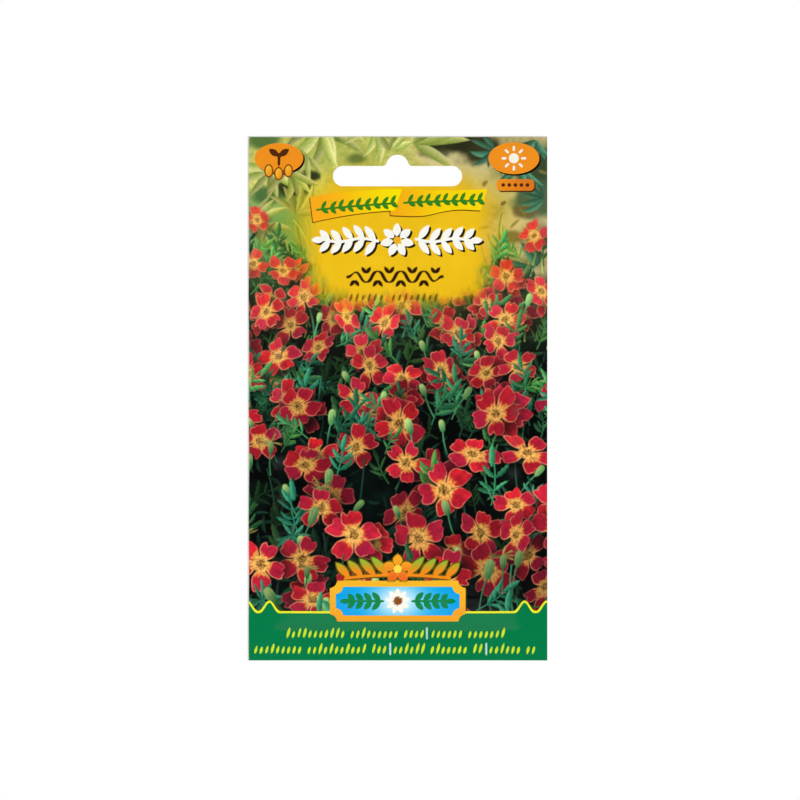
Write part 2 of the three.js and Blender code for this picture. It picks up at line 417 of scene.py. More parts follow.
def linear(colour):
    """Display values 0..1 as linear light."""
    colour = np.clip(colour, 0, 1)
    return np.where(colour <= 0.04045, colour / 12.92, ((colour + 0.055) / 1.055) ** 2.4)


# The picture of the bed is painted on dots at half the mesh's pitch, from far to near.
dots_across = np.linspace(-SHEET_EDGE, SHEET_EDGE, COLUMNS * 2 + 1)
dots_up = np.linspace(BOTTOM_EDGE, TOP_EDGE, ROWS * 2 + 1)
dots_x, dots_z = np.meshgrid(dots_across, dots_up)
picture = np.zeros((*dots_x.shape, 3))
grain = mottle(dots_x, dots_z, 1.0, 11)
fine_grain = mottle(dots_x, dots_z, 0.42, 12)
cloud = mottle(dots_x, dots_z, 7.0, 1) * 0.6 + mottle(dots_x, dots_z, 2.6, 2) * 0.4
BED_DRAW = 29
rng = np.random.default_rng(BED_DRAW)
draw = rng.uniform
UPRIGHT = 1.57
SPIRAL_TURN = 2.39996
PETAL_GOLD = np.array([1.04, 0.72, 0.355])
PETAL_ORANGE = np.array([0.90, 0.42, 0.20])
PETAL_RIM = (0.94, 0.63, 0.45)
PETAL_DEEP = np.array([0.49, 0.065, 0.12])
PETAL_BRIGHT = np.array([0.97, 0.16, 0.185])
HEART_GOLD = np.array([1.02, 0.735, 0.365])
HEART_BROWN = np.array([0.60, 0.42, 0.18])
HEART_DARK = np.array([0.22, 0.13, 0.05])
HEART_GLINT = np.array([1.0, 0.85, 0.50])
FLORETS = 36


def blend(amount, first, second):
    """A colour for each dot or vertex: first where amount is 0 and second where it is 1."""
    first = np.asarray(first)
    return first + amount[..., None] * (np.asarray(second) - first)


def soft_min(a, b, width):
    """The smaller of a and b, with the corner where they cross rounded over width."""
    near = np.clip(1 - np.abs(a - b) / width, 0, 1)
    return np.minimum(a, b) - near * near * width / 4


def turned(x, z, angle):
    """How far along a direction, and how far to its left, x and z lead."""
    return x * np.cos(angle) + z * np.sin(angle), z * np.cos(angle) - x * np.sin(angle)


def around(x, z, reach):
    """The dots within reach of a point, and how far right and up of it each of them is."""
    left, right = np.searchsorted(dots_across, (x - reach, x + reach))
    low, high = np.searchsorted(dots_up, (z - reach, z + reach))
    here = (slice(low, high), slice(left, right))
    return here, dots_x[here] - x, dots_z[here] - z


def along_stem(x, z, angle, length, bend):
    """The dots round a stem, the share of its length at which each lies, and how far each lies beside it. The
    stem is a parabola from (x, z)."""
    here, dx, dz = around(x, z, length * 1.05)
    along, side = turned(dx, dz, angle)
    t = along / length
    return here, t, side - bend * length * t * (1 - t) * 4


def lay(here, inside, colour, softness=0.13, strength=1.0):
    """Paints colour where inside, a distance in mm, is above 0, over an edge as wide as softness."""
    cover = (eased(-softness, softness, inside) * strength)[..., None]
    picture[here] += (colour - picture[here]) * cover


def blade(x, z, angle, length, width, light, dark, softness=0.13, bend=0.0, blunt=0.8, teeth=0.0, crisp=0.18):
    """A narrow leaf from (x, z): half its width is sin(pi t)^blunt along it, its middle line is a parabola,
    and it is lit on one side of that line."""
    here, t, side = along_stem(x, z, angle, length, bend)
    share = np.sin(np.pi * np.clip(t, 0, 1) ** 0.85) ** blunt
    half = width / 2 * share * (1 + teeth * np.sin(t * 26))
    thin = 0.8 * softness * eased(0.9, 0.2, half / (width / 2))
    lit = 0.5 + 0.46 * side / (half + 0.05) + 0.25 * (t - 0.4) + crisp * fine_grain[here]
    inside = np.where((t > 0) & (t < 1), half - np.abs(side) - thin, -9.0)
    lay(here, inside, blend(np.clip(lit, 0, 1), dark, light), softness)


def stalk(x, z, angle, length, width, colour, softness=0.13, bend=0.0):
    """A strip of even width along a parabola, lighter on one side."""
    here, t, side = along_stem(x, z, angle, length, bend)
    shade = np.clip(1.0 + 0.7 * side / width, 0.5, 1.5)[..., None]
    lay(here, np.where((t > 0) & (t < 1), width / 2 - np.abs(side), -9.0), colour * shade, softness)


def feather_leaf(x, z, angle, size, shade, softness):
    """A cut leaf: a bent midrib with pairs of lance-shaped leaflets, shorter towards the tip."""
    pairs = rng.integers(2, 6)
    hue = draw(-1, 1)
    light = np.array([0.43 + 0.13 * hue, 0.76, 0.47 - 0.11 * hue]) * shade
    dark = np.array([0.06, 0.37 + 0.05 * hue, 0.22 - 0.04 * hue]) * shade
    bend = draw(-0.10, 0.10)
    stalk(x, z, angle, size, 0.38, (light + dark) / 2, softness, bend)
    for k in range(pairs):
        t = 0.22 + 0.60 * (k + draw(-0.2, 0.2)) / pairs
        lift = bend * size * t * (1 - t) * 4
        foot_x = x + np.cos(angle) * size * t - np.sin(angle) * lift
        foot_z = z + np.sin(angle) * size * t + np.cos(angle) * lift
        for way in (-1, 1):
            spread = angle + way * draw(0.45, 1.05)
            long = size * draw(0.34, 0.56) * (1.08 - 0.5 * t)
            lit = light * draw(0.62, 1.12)
            blade(foot_x, foot_z, spread, long, long * draw(0.15, 0.26), lit, dark, softness,
                  draw(-0.14, 0.14), 0.7, draw(0.04, 0.20), 0.14)
    tip = size * 0.70
    blade(x + np.cos(angle) * tip, z + np.sin(angle) * tip, angle, size * 0.46, size * 0.12, light, dark,
          softness, 0.0, 0.7, 0.08, 0.10)


def bud(x, z, angle, size, shade, softness=0.13):
    """A closed head: an egg with a blunt top on a thin stalk, lit from the upper left and faintly ribbed."""
    foot_x, foot_z = x - np.cos(angle) * size * 2.4, z - np.sin(angle) * size * 2.4
    stalk(foot_x, foot_z, angle, size * 2.0, 0.42, np.array([0.30, 0.60, 0.40]) * shade, softness, 0.04)
    here, dx, dz = around(x, z, size)
    a, b = turned(dx, dz, angle)
    a = a / (size * 0.56)
    b = b / (size * 0.25 * (1 + 0.16 * a))
    lit = 0.55 - 0.50 * (dx - 0.4 * dz) / (size * 0.36) + 0.10 * np.cos(8 * b) + 0.10 * grain[here]
    tip = (0.5 + 0.5 * np.clip(a, -1, 1))[..., None]
    light = (np.array([0.55, 0.78, 0.48]) + tip * np.array([0.26, 0.12, 0.06])) * shade
    dark = (np.array([0.16, 0.44, 0.26]) + tip * np.array([0.20, 0.16, 0.06])) * shade
    inside = (1 - (np.abs(a) ** 2.4 + np.abs(b) ** 2.4) ** (1 / 2.4)) * size * 0.27
    lay(here, inside, blend(np.clip(lit, 0, 1), dark, light), softness)


def rosette(x, z, size, shade, softness):
    """A young shoot seen from above: narrow leaves all round one point, the lower ones longer."""
    first, count = draw(0, 2 * np.pi), rng.integers(7, 10)
    for k in range(count):
        angle = first + 2 * np.pi * k / count + rng.normal(0, 0.12)
        long = size * draw(0.8, 1.1) * (1 - 0.18 * np.sin(angle))
        tone = shade * draw(0.75, 1.1)
        blade(x, z, angle, long, long * draw(0.17, 0.24), np.array([0.45, 0.84, 0.65]) * tone,
              np.array([0.06, 0.42, 0.30]) * tone, softness, draw(-0.1, 0.1), 0.7, 0.12, 0.14)


def spent_head(x, z, size, shade):
    """A faded flower: dry yellow wisps that fan out of a green cup."""
    for _ in range(9):
        angle = UPRIGHT + draw(-1.9, 1.9)
        long = size * draw(0.6, 1.0)
        straw = np.array([0.90, 0.78, 0.42]) * shade * draw(0.6, 1.1)
        blade(x, z, angle, long, size * 0.12, straw, straw * 0.55, 0.11, draw(-0.1, 0.1), 0.6)
    bud(x, z - size * 0.35, UPRIGHT, size * 0.8, shade * 0.8)


def petal(x, z, radius, angle, lean, squash, half, shade, warmth, softness):
    """One petal: a narrow foot that opens at once to angular shoulders, with a slanted, notched tip and a
    thin golden edge. It is drawn flat, then squashed along the flower's slant."""
    long = radius * draw(0.80, 1.06)
    notch, notch_at = radius * rng.choice([0.0, 0.05, 0.12]), half * draw(-0.45, 0.45)
    skew, cup, tone, cool = draw((-0.17, -0.18, 0.32, 0.0), (0.17, 0.18, 0.66, 1.0))
    out_a, out_b = np.cos(angle) * long * 0.55, np.sin(angle) * long * 0.55 * squash
    middle_x = x + out_a * np.cos(lean) - out_b * np.sin(lean)
    middle_z = z + out_a * np.sin(lean) + out_b * np.cos(lean)
    here, dx, dz = around(middle_x, middle_z, long * 0.66)
    a, b = turned(dx + middle_x - x, dz + middle_z - z, lean)
    along, side = turned(a, b / squash, angle)
    out = along / long
    width = half * (0.30 + 0.70 * eased(0.15, 0.63, out) ** 0.8 - 0.06 * eased(0.75, 1.05, out))
    tip = long * (1 - 0.07 * (side / half) ** 2 + skew * side / half)
    tip = tip - notch * np.exp(-(((side - notch_at) / (0.24 * half)) ** 2))
    tip = tip + 0.016 * radius * np.cos(9 * side / half)
    inside = soft_min(width - np.abs(side), tip - along, 0.09 * radius)
    inside = soft_min(inside, along - 0.02 * radius, 0.05 * radius) * (1 + squash) / 2
    u, v = np.clip(side / width, -1, 1), np.clip(out, 0, 1)
    facing = np.cos(angle + lean - 2.2)
    lit = tone + 0.13 * facing + cup * u + 0.17 * grain[here] + 0.08 * fine_grain[here] + 0.12 * v
    lit = lit - 0.10 * np.cos(2 * np.pi * (u + 0.1)) * v
    lit = np.clip(lit * shade - 0.16 * np.exp(-v / 0.3), 0, 1)
    deep = PETAL_DEEP + cool * np.array([0.03, 0.02, 0.08]) + warmth * np.array([0.25, 0.15, -0.06])
    bright = PETAL_BRIGHT + cool * np.array([-0.10, 0.0, 0.09]) + warmth * np.array([0.0, 0.26, 0.02])
    colour = blend(lit, deep, bright)
    foot = v + 0.06 * grain[here] + 0.05 * fine_grain[here] - 0.05 * np.abs(u) + 0.022 * np.cos(11 * u)
    colour = colour + (PETAL_ORANGE - colour) * 0.7 * eased(0.50, 0.38, foot)[..., None]
    gold = PETAL_GOLD * (1 + 0.10 * grain[here] - 0.16 * np.abs(u))[..., None]
    lay(here, inside, blend(eased(0.43, 0.33, foot), colour, gold) * (0.5 + 0.5 * shade), softness)
    edge = 0.44 + 0.26 * facing * np.sign(side) + 0.26 * grain[here] + 0.42 * (1 - v)
    edge = np.clip(edge, 0.10, 0.85) * (0.35 + 0.65 * shade) * eased(0.45, 0.15, softness)
    lay(here, 0.15 - np.abs(inside - 0.10), PETAL_RIM, 0.12, edge)


def blossom(x, z, radius, shade, warmth, softness):
    """A flat flower seen at a slant: its shadow, its petals one over the next, and a golden heart with a
    ragged edge, whose florets stand in a spiral with brown between them."""
    lean, squash = draw(0, np.pi), draw(0.66, 1.0)
    here, dx, dz = around(x + 0.5, z - 0.9, radius * 1.3)
    a, b = turned(dx, dz, lean)
    gloom = radius * 0.92 - np.hypot(a, b / squash)
    lay(here, gloom, (0.01, 0.02, 0.02), radius * 0.4, 0.62 * eased(0.5, 0.1, softness))
    petals, first = (5 if rng.random() < 0.93 else 6), draw(0, 2 * np.pi)
    plump = draw(0.31, 0.375) * (5 / petals) ** 0.9
    for k in rng.permutation(petals):
        angle = first + 2 * np.pi * k / petals + rng.normal(0, 0.10)
        half = radius * plump * draw(0.88, 1.10)
        petal(x, z, radius, angle, lean, squash, half, shade, warmth, softness)
    heart = radius * 0.31
    here, dx, dz = around(x, z, heart * 1.6)
    a, b = turned(dx, dz, lean)
    b = b / squash
    distance, bearing = np.hypot(a, b), np.arctan2(b, a)
    ragged = 1 + 0.22 * mottle(bearing * 3.4 + 40, np.full_like(a, x + 50), 0.42, 13)
    ragged = ragged + 0.13 * np.cos(17 * bearing + x)
    inside = (heart * ragged - distance) * (1 + squash) / 2
    floret = np.arange(FLORETS)
    reach, turn = heart * 0.92 * np.sqrt((floret + 0.5) / FLORETS), floret * SPIRAL_TURN + first
    reach, turn = reach + rng.normal(0, 0.05, FLORETS) * heart, turn + rng.normal(0, 0.16, FLORETS)
    nearest = np.hypot(a[..., None] - reach * np.cos(turn), b[..., None] - reach * np.sin(turn)).min(-1)
    nearest = nearest / (heart * 0.17)
    middle = eased(0.80, 0.30, distance / heart + 0.16 * grain[here])
    hollow = (nearest - 0.5) * (0.28 + 0.8 * middle) + 0.40 * middle * (fine_grain[here] + 0.2)
    brown = blend(0.75 * middle, HEART_GOLD, HEART_BROWN)
    tint = 0.5 + 0.5 * shade
    lay(here, inside, blend(np.clip(hollow, 0, 1), brown, HEART_DARK) * tint, max(softness, 0.2))
    lay(here, inside, HEART_GLINT * tint, 0.12, eased(0.75, 0.2, nearest) * 0.6 * (1 - 0.6 * middle))


def scatter(count, low, high, gap):
    """count places over the field, each the first of 24 tries that keeps its gap, or the best of them."""
    places = [np.array([draw(-38, 38), draw(low, high)])]
    while len(places) < count:
        tries = np.stack([draw(-42, 42, 24), draw(low, high, 24)], 1)
        clear = np.linalg.norm(tries[:, None] - np.array(places), axis=2).min(1)
        good = np.flatnonzero(clear > gap)
        places.append(tries[good[0] if len(good) else np.argmax(clear)])
    return places


def tufts(places, light, dark, softness, wide):
    """Fans of broad soft leaves, each (x, z, first angle, spread, leaves, length)."""
    for x, z, first, spread, leaves, length in places:
        for k in range(leaves):
            tone = draw(0.70, 1.10)
            angle = first + spread * k / (leaves - 1) + rng.normal(0, 0.1)
            blade(x, z, angle, length * draw(0.75, 1.1), length * draw(0.8, 1.2) * wide,
                  np.array(light) * tone, np.array(dark) * tone, softness, draw(-0.14, 0.14), 0.75,
                  0.0, 0.10)


# Ground: black-green under the bed, and behind it a haze of yellow-green on the left and stone on the right.
soil = np.clip(0.1 + 0.8 * cloud, 0, 1)[..., None] * np.array([0.02, 0.11, 0.08])
soil = np.array([0.006, 0.014, 0.012]) + soil
rightward = eased(-6, 26, dots_x + 6 * cloud)[..., None]
haze = np.array([0.80, 0.81, 0.40]) * (1 - rightward) + np.array([0.79, 0.73, 0.50]) * rightward
haze = haze + cloud[..., None] * np.array([0.15, 0.12, 0.11]) + (0.05 * grain + 0.04 * fine_grain)[..., None]
green_left = (eased(-18, -34, dots_x) * eased(-6, -16, dots_z + 4 * cloud))[..., None]
haze = haze + (np.array([0.42, 0.66, 0.40]) - haze) * green_left * 0.85
picture[:] = blend(eased(-44, -20, dots_z + 6 * cloud + 0.10 * np.abs(dots_x)), soil, haze)

# In the haze: stones and shady gaps, each (x, z, reach), soft tufts on both sides, short cracks on the
# right, and in front of them a row of thin stems.
for x, z, reach in ((18, -3, 8), (27, -10, 7), (33, -17, 6), (12, -1, 5)):
    here, dx, dz = around(x, z, reach * 1.5)
    inside = reach * (1 + 0.25 * cloud[here]) - np.hypot(dx, dz * 1.7)
    lay(here, inside, (0.90, 0.84, 0.62), reach * 0.35, 0.7)
SHADY_GAPS = ((14, 3.5, 5.5, (0.05, 0.07, 0.03)), (22, 1.5, 6, (0.09, 0.10, 0.05)),
              (37, -2, 8, (0.10, 0.20, 0.13)), (38, -12, 6, (0.22, 0.34, 0.24)),
              (-28, -9, 3.6, (0.06, 0.11, 0.04)), (-11, -1, 2.6, (0.34, 0.44, 0.18)),
              (-36, 4, 3.5, (0.25, 0.42, 0.20)), (-14, 4.4, 2.6, (0.20, 0.30, 0.12)),
              (-35, -11, 3.0, (0.22, 0.40, 0.20)), (34, -15, 2.4, (0.42, 0.36, 0.22)),
              (30, -22, 2.2, (0.50, 0.45, 0.22)), (-24, -5.5, 2.2, (0.06, 0.11, 0.04)))
for x, z, reach, colour in SHADY_GAPS:
    here, dx, dz = around(x, z, reach * 1.6)
    frayed = 1 + 0.6 * cloud[here] + 0.10 * grain[here]
    lay(here, reach * frayed - np.hypot(dx * 0.8, dz * 1.5), colour, reach * 0.42, 0.92)
tufts(((-20, 8, 3.3, 2.7, 8, 14), (-34, -4, 0.9, -4.2, 9, 11), (-6, 9, 3.6, 2.2, 7, 13),
       (4, 3, 5.9, 1.1, 5, 17), (-27, -16, 2.6, -2.6, 6, 10), (-38, -20, 1.2, -1.9, 6, 11),
       (-24, 0, 2.9, 2.4, 6, 8), (-29, -4, 3.9, 2.0, 5, 9), (-2, 1, 0.4, 1.6, 4, 9)),
      (1.0, 0.98, 0.66), (0.50, 0.62, 0.20), 0.22, 0.19)
for x, z in scatter(34, -26, -4, 3.0):
    if x > 20:
        crack = np.array([0.55, 0.48, 0.26]) * draw(0.7, 1.2)
        blade(x, z, draw(0, np.pi), draw(2, 5), draw(0.5, 1.1), crack, crack * 0.8, 0.4)
tufts(((26, 1, 2.2, 2.6, 6, 7), (33, -3, -0.8, -2.4, 5, 8), (39, -12, 2.0, 1.8, 5, 7),
       (37, -30, 1.6, 1.6, 4, 8), (37, 4, 3.4, 2.2, 6, 7)),
      (0.36, 0.66, 0.54), (0.08, 0.28, 0.22), 0.20, 0.21)
for x, z in scatter(110, -46, -16, 2.5):
    if abs(x) > 22 or z < -30:
        green = np.array([0.66, 0.78, 0.38]) * draw(0.6, 1.15)
        stalk(x, z - 6, UPRIGHT + rng.normal(0, 0.3), draw(4, 9), 0.4, green, 0.30,
              draw(-0.1, 0.1))

# The bed: everything gets a place, a depth and a shade, and is painted from the deepest up. It stands
# thicker at the back than in front.
jobs = []


def flower_reach(z):
    """The radius of a flower at a height: small far up the picture, and growing towards its foot."""
    return 3.5 + 2.6 * np.clip((-12 - z) / 50, 0, 1) + 0.8 * np.clip((-62 - z) / 50, 0, 1)


def plant(kind, x, z, depths, shades):
    """Adds a job. Its depth is its height plus one of depths, or one drawn between two, and its shade is
    drawn."""
    away = depths[0] if len(depths) == 1 else draw(*depths)
    jobs.append((z + away, kind, x, z, draw(*shades)))


def sow(kind, count, low, high, gap, depths, shades):
    """Plants count of a kind over the field between two heights."""
    for x, z in scatter(count, low, high, gap):
        plant(kind, x, z, depths, shades)


sow("wisp", 420, -136, -34, 2.8, (200,), (0.14, 0.5))
for low, high, leaf_count, near_count, gap in ((-76, -28, 100, 74, 5.3), (-138, -76, 40, 22, 8.0)):
    sow("leaf", leaf_count, low, high, gap, (12, 24), (0.3, 0.72))
    sow("leaf", near_count, low, high, gap + 1, (1, 12), (0.62, 1.10))
sow("stem", 40, -130, -40, 8.0, (8, 16), (0.4, 0.9))
sow("rosette", 9, -122, -50, 16.0, (0, 6), (0.7, 1.0))
for low, high, dim_count, group_count, gap in ((-54, -34, 8, 8, 12.0), (-72, -54, 5, 4, 16.0),
                                               (-97, -72, 4, 5, 18.0), (-118, -97, 5, 5, 18.0)):
    sow("flower", dim_count, low, high, 9.0, (3, 10), (0.42, 0.70))
    for group_x, group_z in scatter(group_count, low, high, gap):
        first = draw(0, 2 * np.pi)
        for k in range(rng.integers(2, 5)):
            away = flower_reach(group_z) * draw(1.15, 1.5)
            plant("flower", group_x + away * np.cos(first + 2.1 * k),
                  group_z + away * np.sin(first + 2.1 * k) * 0.9, (-3, 3), (0.70, 1.06))
for x, z in ((-37.5, -17.5), (-38.5, -29.0), (-30.5, -31.0), (-25.0, -38.0), (36.5, -21.5), (29.0, -32.5),
             (38.5, -36.5), (-35.0, -42.0)):
    plant("flower", x, z, (-4,), (0.95, 1.05))
sow("bud", 46, -128, -36, 8.0, (-4, 4), (0.7, 1.08))
sow("spent", 6, -125, -60, 16.0, (-2,), (0.7, 1.0))
jobs.sort(key=lambda job: -job[0])
for _, kind, x, z, shade in jobs:
    shade *= 1 + 0.22 * eased(-64, -40, z)
    size = 0.72 + 0.44 * np.clip((-20 - z) / 100, 0, 1)
    softness = 0.12 + 0.16 * eased(-44, -26, z)
    if kind == "wisp":
        green = np.array([0.25, 0.62, 0.45]) * shade
        blade(x, z, draw(0, 2 * np.pi), draw(2.5, 6), draw(0.5, 1.2), green, green * 0.4,
              0.2, draw(-0.2, 0.2))
    elif kind == "leaf":
        feather_leaf(x, z, rng.normal(UPRIGHT, 0.9), draw(7.5, 14.0) * size, shade, softness)
    elif kind == "stem":
        stalk(x, z - 8, rng.normal(UPRIGHT, 0.2), draw(10, 18) * size, 0.5,
              np.array([0.22, 0.52, 0.38]) * shade, softness, draw(-0.08, 0.08))
    elif kind == "bud":
        bud(x, z, rng.normal(UPRIGHT, 0.4), draw(3.0, 4.5) * size, shade, softness)
    elif kind == "rosette":
        rosette(x, z, draw(4.6, 6.4) * size, shade, softness)
    elif kind == "spent":
        spent_head(x, z, draw(3.2, 4.2) * size, shade)
    else:
        warmth = eased(-42, -24, z) * draw(0.2, 0.8)
        blossom(x, z, flower_reach(z) * draw(0.94, 1.2), shade, warmth, softness)

# A pale veil towards the top, then the golden patch behind the white sprig: solid in its middle, fainter
# above, ragged like grass at its lower edge, and with a warm glow well beyond its sides.
veil = 0.15 * eased(-68, -38, dots_z)[..., None]
picture += (np.array([0.62, 0.58, 0.34]) - picture) * veil
grassy = 1.6 * mottle(dots_x, dots_z * 0.35, 0.9, 4) * eased(-18, -28, dots_z)
ragged = 3.0 * cloud + grassy + 0.6 * fine_grain
out_x, out_z = np.abs(dots_x - 0.3) - 11.0, np.abs(dots_z + 22.5) - 5.0
patch = np.hypot(np.maximum(out_x, 0), np.maximum(out_z, 0) * 1.05)
cover = (eased(17.5, 8.5, patch + ragged * 0.7) * (0.45 + 0.55 * eased(0, -11, dots_z)))[..., None]
gold = np.array([0.955, 0.765, 0.10]) + 0.02 * cloud[..., None]
picture += (gold - picture) * cover
glow = eased(29, 10, patch + ragged * 0.5) * eased(-40, -24, dots_z) * eased(0, -14, dots_z)
picture *= 1 - (glow[..., None] * (1 - cover)) * np.array([0.0, 0.07, 0.52])

# Under the white sprig, a dark flourish and a fainter row of small slanted leaves.
FLOURISH_INK = (0.17, 0.08, 0.02)
FLOURISH_X, FLOURISH_Z = -0.65, -32.6
FLOURISH_WAVE = 1.02
here, dx, dz = around(FLOURISH_X, FLOURISH_Z, 14)
steep = np.cos(dx * FLOURISH_WAVE)
wave = 1.45 * np.sin(dx * FLOURISH_WAVE) * eased(13.4, 9.5, np.abs(dx))
half = 0.20 + 0.30 * steep ** 2 * eased(13.4, 6.0, np.abs(dx))
inside = np.where(np.abs(dx) < 13.0, half - np.abs(dz - wave) / np.hypot(1, 1.48 * steep), -9)
lay(here, inside, FLOURISH_INK, 0.10)
for k in range(8):
    crest = (k - 3.5) * np.pi / FLOURISH_WAVE
    up = 1 if k % 2 else -1
    for way in (-1, 1):
        blade(FLOURISH_X + crest, FLOURISH_Z + up * 0.85, np.pi / 2 * up + way * 0.62,
              2.5 - 0.08 * abs(k - 3.5), 1.0, FLOURISH_INK, FLOURISH_INK, 0.10, 0.0, 0.8, 0.0, 0.0)
for k in range(15):
    if k != 6:
        foot_x, tall = -12.7 + 1.62 * k, 1.9 + 0.5 * np.sin(k * 2.3)
        here, dx, dz = around(foot_x + 0.3, -38.2, 2)
        almond = 0.42 * np.sqrt(np.clip(1 - (dz / (tall * 0.55)) ** 2, 0, 1))
        lay(here, almond - np.abs(dx - 0.26 * dz) - 0.07, (0.27, 0.20, 0.05), 0.14, 0.62)

# The flat inks come over the picture in six layers. Each layer holds a distance inside its nearest shape and
# that shape's colour at every mesh vertex, and the ink ends where the distance is 0.
front_mesh, sheet_x, sheet_z, place, kept = sheet_mesh("front_sheet_printed", -1, FRONT_FULLNESS, COLUMNS,
                                                       ROWS, FRONT_RELIEF_DRAW)


class Layer:
    """One layer of flat ink: the distance in mm inside its nearest shape, and its colour, at each vertex."""

    def __init__(self, count):
        self.inside = np.full(count, -9.0)
        self.colour = np.zeros((count, 3))

    def stamp(self, inside, colour):
        """Keeps, at each vertex, whichever shape it is further inside."""
        nearer = inside > self.inside
        self.colour[nearer] = np.broadcast_to(np.asarray(colour, float), self.colour.shape)[nearer]
        self.inside[nearer] = inside[nearer]


def ellipse(x, z, half_wide, half_high):
    """Distance inside an ellipse about (0, 0), right to first order at its edge."""
    stretched = np.hypot(x / half_wide, z / half_high)
    return stretched * (1 - stretched) / np.maximum(np.hypot(x / half_wide ** 2, z / half_high ** 2), 1e-4)


def plate(x, z, half_wide, half_high, radius):
    """Distance inside a rectangle about (0, 0) with round corners."""
    out_x, out_z = np.abs(x) - half_wide + radius, np.abs(z) - half_high + radius
    beyond = np.hypot(np.maximum(out_x, 0), np.maximum(out_z, 0))
    return radius - beyond - np.minimum(np.maximum(out_x, out_z), 0)


def leaves(x, z, places):
    """Distance inside the nearest of some leaves, each (x, z, angle, length, width): half its width less the
    distance from its middle line, where half its width is sin(pi t)^0.8."""
    inside = np.full(x.shape, -9.0)
    for foot_x, foot_z, angle, length, width in places:
        near = np.flatnonzero(np.hypot(x - foot_x, z - foot_z) < length * 1.4 + 1)
        along, side = turned(x[near] - foot_x, z[near] - foot_z, angle)
        t = along / length
        half = width / 2 * np.sin(np.pi * np.clip(t, 0, 1)) ** 0.8
        beyond = np.maximum(np.maximum(-t, t - 1), 0) * length
        inside[near] = np.maximum(inside[near], half - np.hypot(np.abs(side), beyond))
    return inside


def towards(way, angle):
    """An angle to the right for way 1, and its mirror image to the left for way -1."""
    return angle if way > 0 else np.pi - angle


def ring(x, z, count, out, first, length, width):
    """Leaves all round a point, each with its foot out from it."""
    return [(x + out * np.cos(a), z + out * np.sin(a), a, length, width)
            for a in np.arange(count) * 2 * np.pi / count + first]


def strip(x, z, from_x, from_z, to_x, to_z, half):
    """Distance inside a straight bar with round ends."""
    run_x, run_z = to_x - from_x, to_z - from_z
    t = np.clip(((x - from_x) * run_x + (z - from_z) * run_z) / (run_x ** 2 + run_z ** 2), 0, 1)
    return half - np.hypot(x - from_x - t * run_x, z - from_z - t * run_z)


def sun(x, z, radius, from_ray, to_ray, half):
    """Distance inside a disc, and inside eight rays round it, each a bar from one radius to another."""
    distance, ray = np.hypot(x, z), (np.arctan2(z, x) + np.pi / 8) % (np.pi / 4) - np.pi / 8
    rays = strip(distance * np.cos(ray), distance * np.sin(ray), from_ray, 0, to_ray, 0, half)
    return np.maximum(radius - distance, rays)


def band_top(x, z):
    """Distance below the top of the bottom band: level in the middle, and a wave in its outer parts."""
    out = np.maximum(np.abs(x) - 31.1, 0) * 2 * np.pi / 5.9
    slope = 1.4 * np.sin(out) * 2 * np.pi / 5.9
    return (-121.8 + 1.4 * (1 - np.cos(out)) - z) / np.hypot(1, slope)


ORANGE = np.array([0.965, 0.58, 0.12])
DEEP_BROWN = (0.33, 0.16, 0.05)
BAND_GREEN = (0.0, 0.48, 0.275)
BAND_YELLOW = (0.93, 0.93, 0.15)
BAND_INK = (0.80, 0.90, 0.17)
LAYER_NAMES = ("shade", "badge", "trim", "gold", "mark", "top")
PRINT_SHIFT = 0.13
x, z = sheet_x + PRINT_SHIFT, sheet_z
shade, badge, trim, gold, mark, top = layers = [Layer(len(x)) for _ in LAYER_NAMES]

# Bottom band with its yellow edge, and two rows of slanted marks with thin bars between them.
MARK_PITCH = 1.46
MARKS_DRAW = 7
badge.stamp(band_top(x, z), BAND_YELLOW)
trim.stamp(band_top(x, z) - 0.56, BAND_GREEN)
mark_rng = np.random.default_rng(MARKS_DRAW)
for row_z, first_x, last_x, bars in ((-127.9, -29.4, 29.0, (0.64,)), (-132.1, -38.0, 37.4, (0.48, 0.82))):
    cuts = [first_x + share * (last_x - first_x) for share in bars]
    marks = []
    at, left_in_group = first_x, mark_rng.integers(6, 12)
    while at < last_x:
        tall = mark_rng.choice([2.3, 2.5, 3.3], p=[0.45, 0.25, 0.30])
        if min(abs(at + 0.3 - cut) for cut in cuts) > 1.2:
            marks.append((at, row_z - 1.3, 1.30, tall, mark_rng.uniform(0.64, 0.78)))
        left_in_group -= 1
        at += MARK_PITCH
        if left_in_group == 0:
            at, left_in_group = at + 1.1, mark_rng.integers(5, 12)
    mark.stamp(leaves(x, z, marks), BAND_INK)
    for cut in cuts:
        mark.stamp(strip(x, z, cut, row_z - 1.3, cut, row_z + 1.6, 0.26), (0.72, 0.86, 0.86))

# Left badge: three seeds under a small sprout. Right badge: a plain sun. Below it a pill with five dots.
LEFT_X, RIGHT_X, PILL_X = -31.53, 31.21, 31.61
BADGE_Z, PILL_Z = -0.945, -8.07
for badge_x, wide, high in ((LEFT_X, 6.51, 4.04), (RIGHT_X, 6.80, 4.23)):
    shade.stamp(ellipse(x - badge_x - 0.42, z - BADGE_Z + 0.42, wide, high), (0.04, 0.03, 0.02))
    badge.stamp(ellipse(x - badge_x, z - BADGE_Z, wide, high), ORANGE)
for seed_x, seed_z in ((-34.21, -4.3), (-31.56, -5.05), (-28.96, -4.3)):
    dx, dz = x - seed_x, z - seed_z
    trim.stamp(ellipse(dx, dz, 1.22, 1.80), (0.55, 0.27, 0.07))
    lit = np.clip(0.5 - 0.28 * dx + 0.22 * dz, 0, 1)
    mark.stamp(ellipse(dx, dz, 0.86, 1.42), blend(lit, (0.93, 0.55, 0.10), (1.0, 0.80, 0.25)))
trim.stamp(leaves(x, z, [(-31.5, -0.4, 0.62, 3.3, 1.7), (-31.5, -0.4, 2.52, 3.3, 1.7)]), DEEP_BROWN)
trim.stamp(strip(x, z, -31.5, -2.6, -31.5, 0.1, 0.36), DEEP_BROWN)
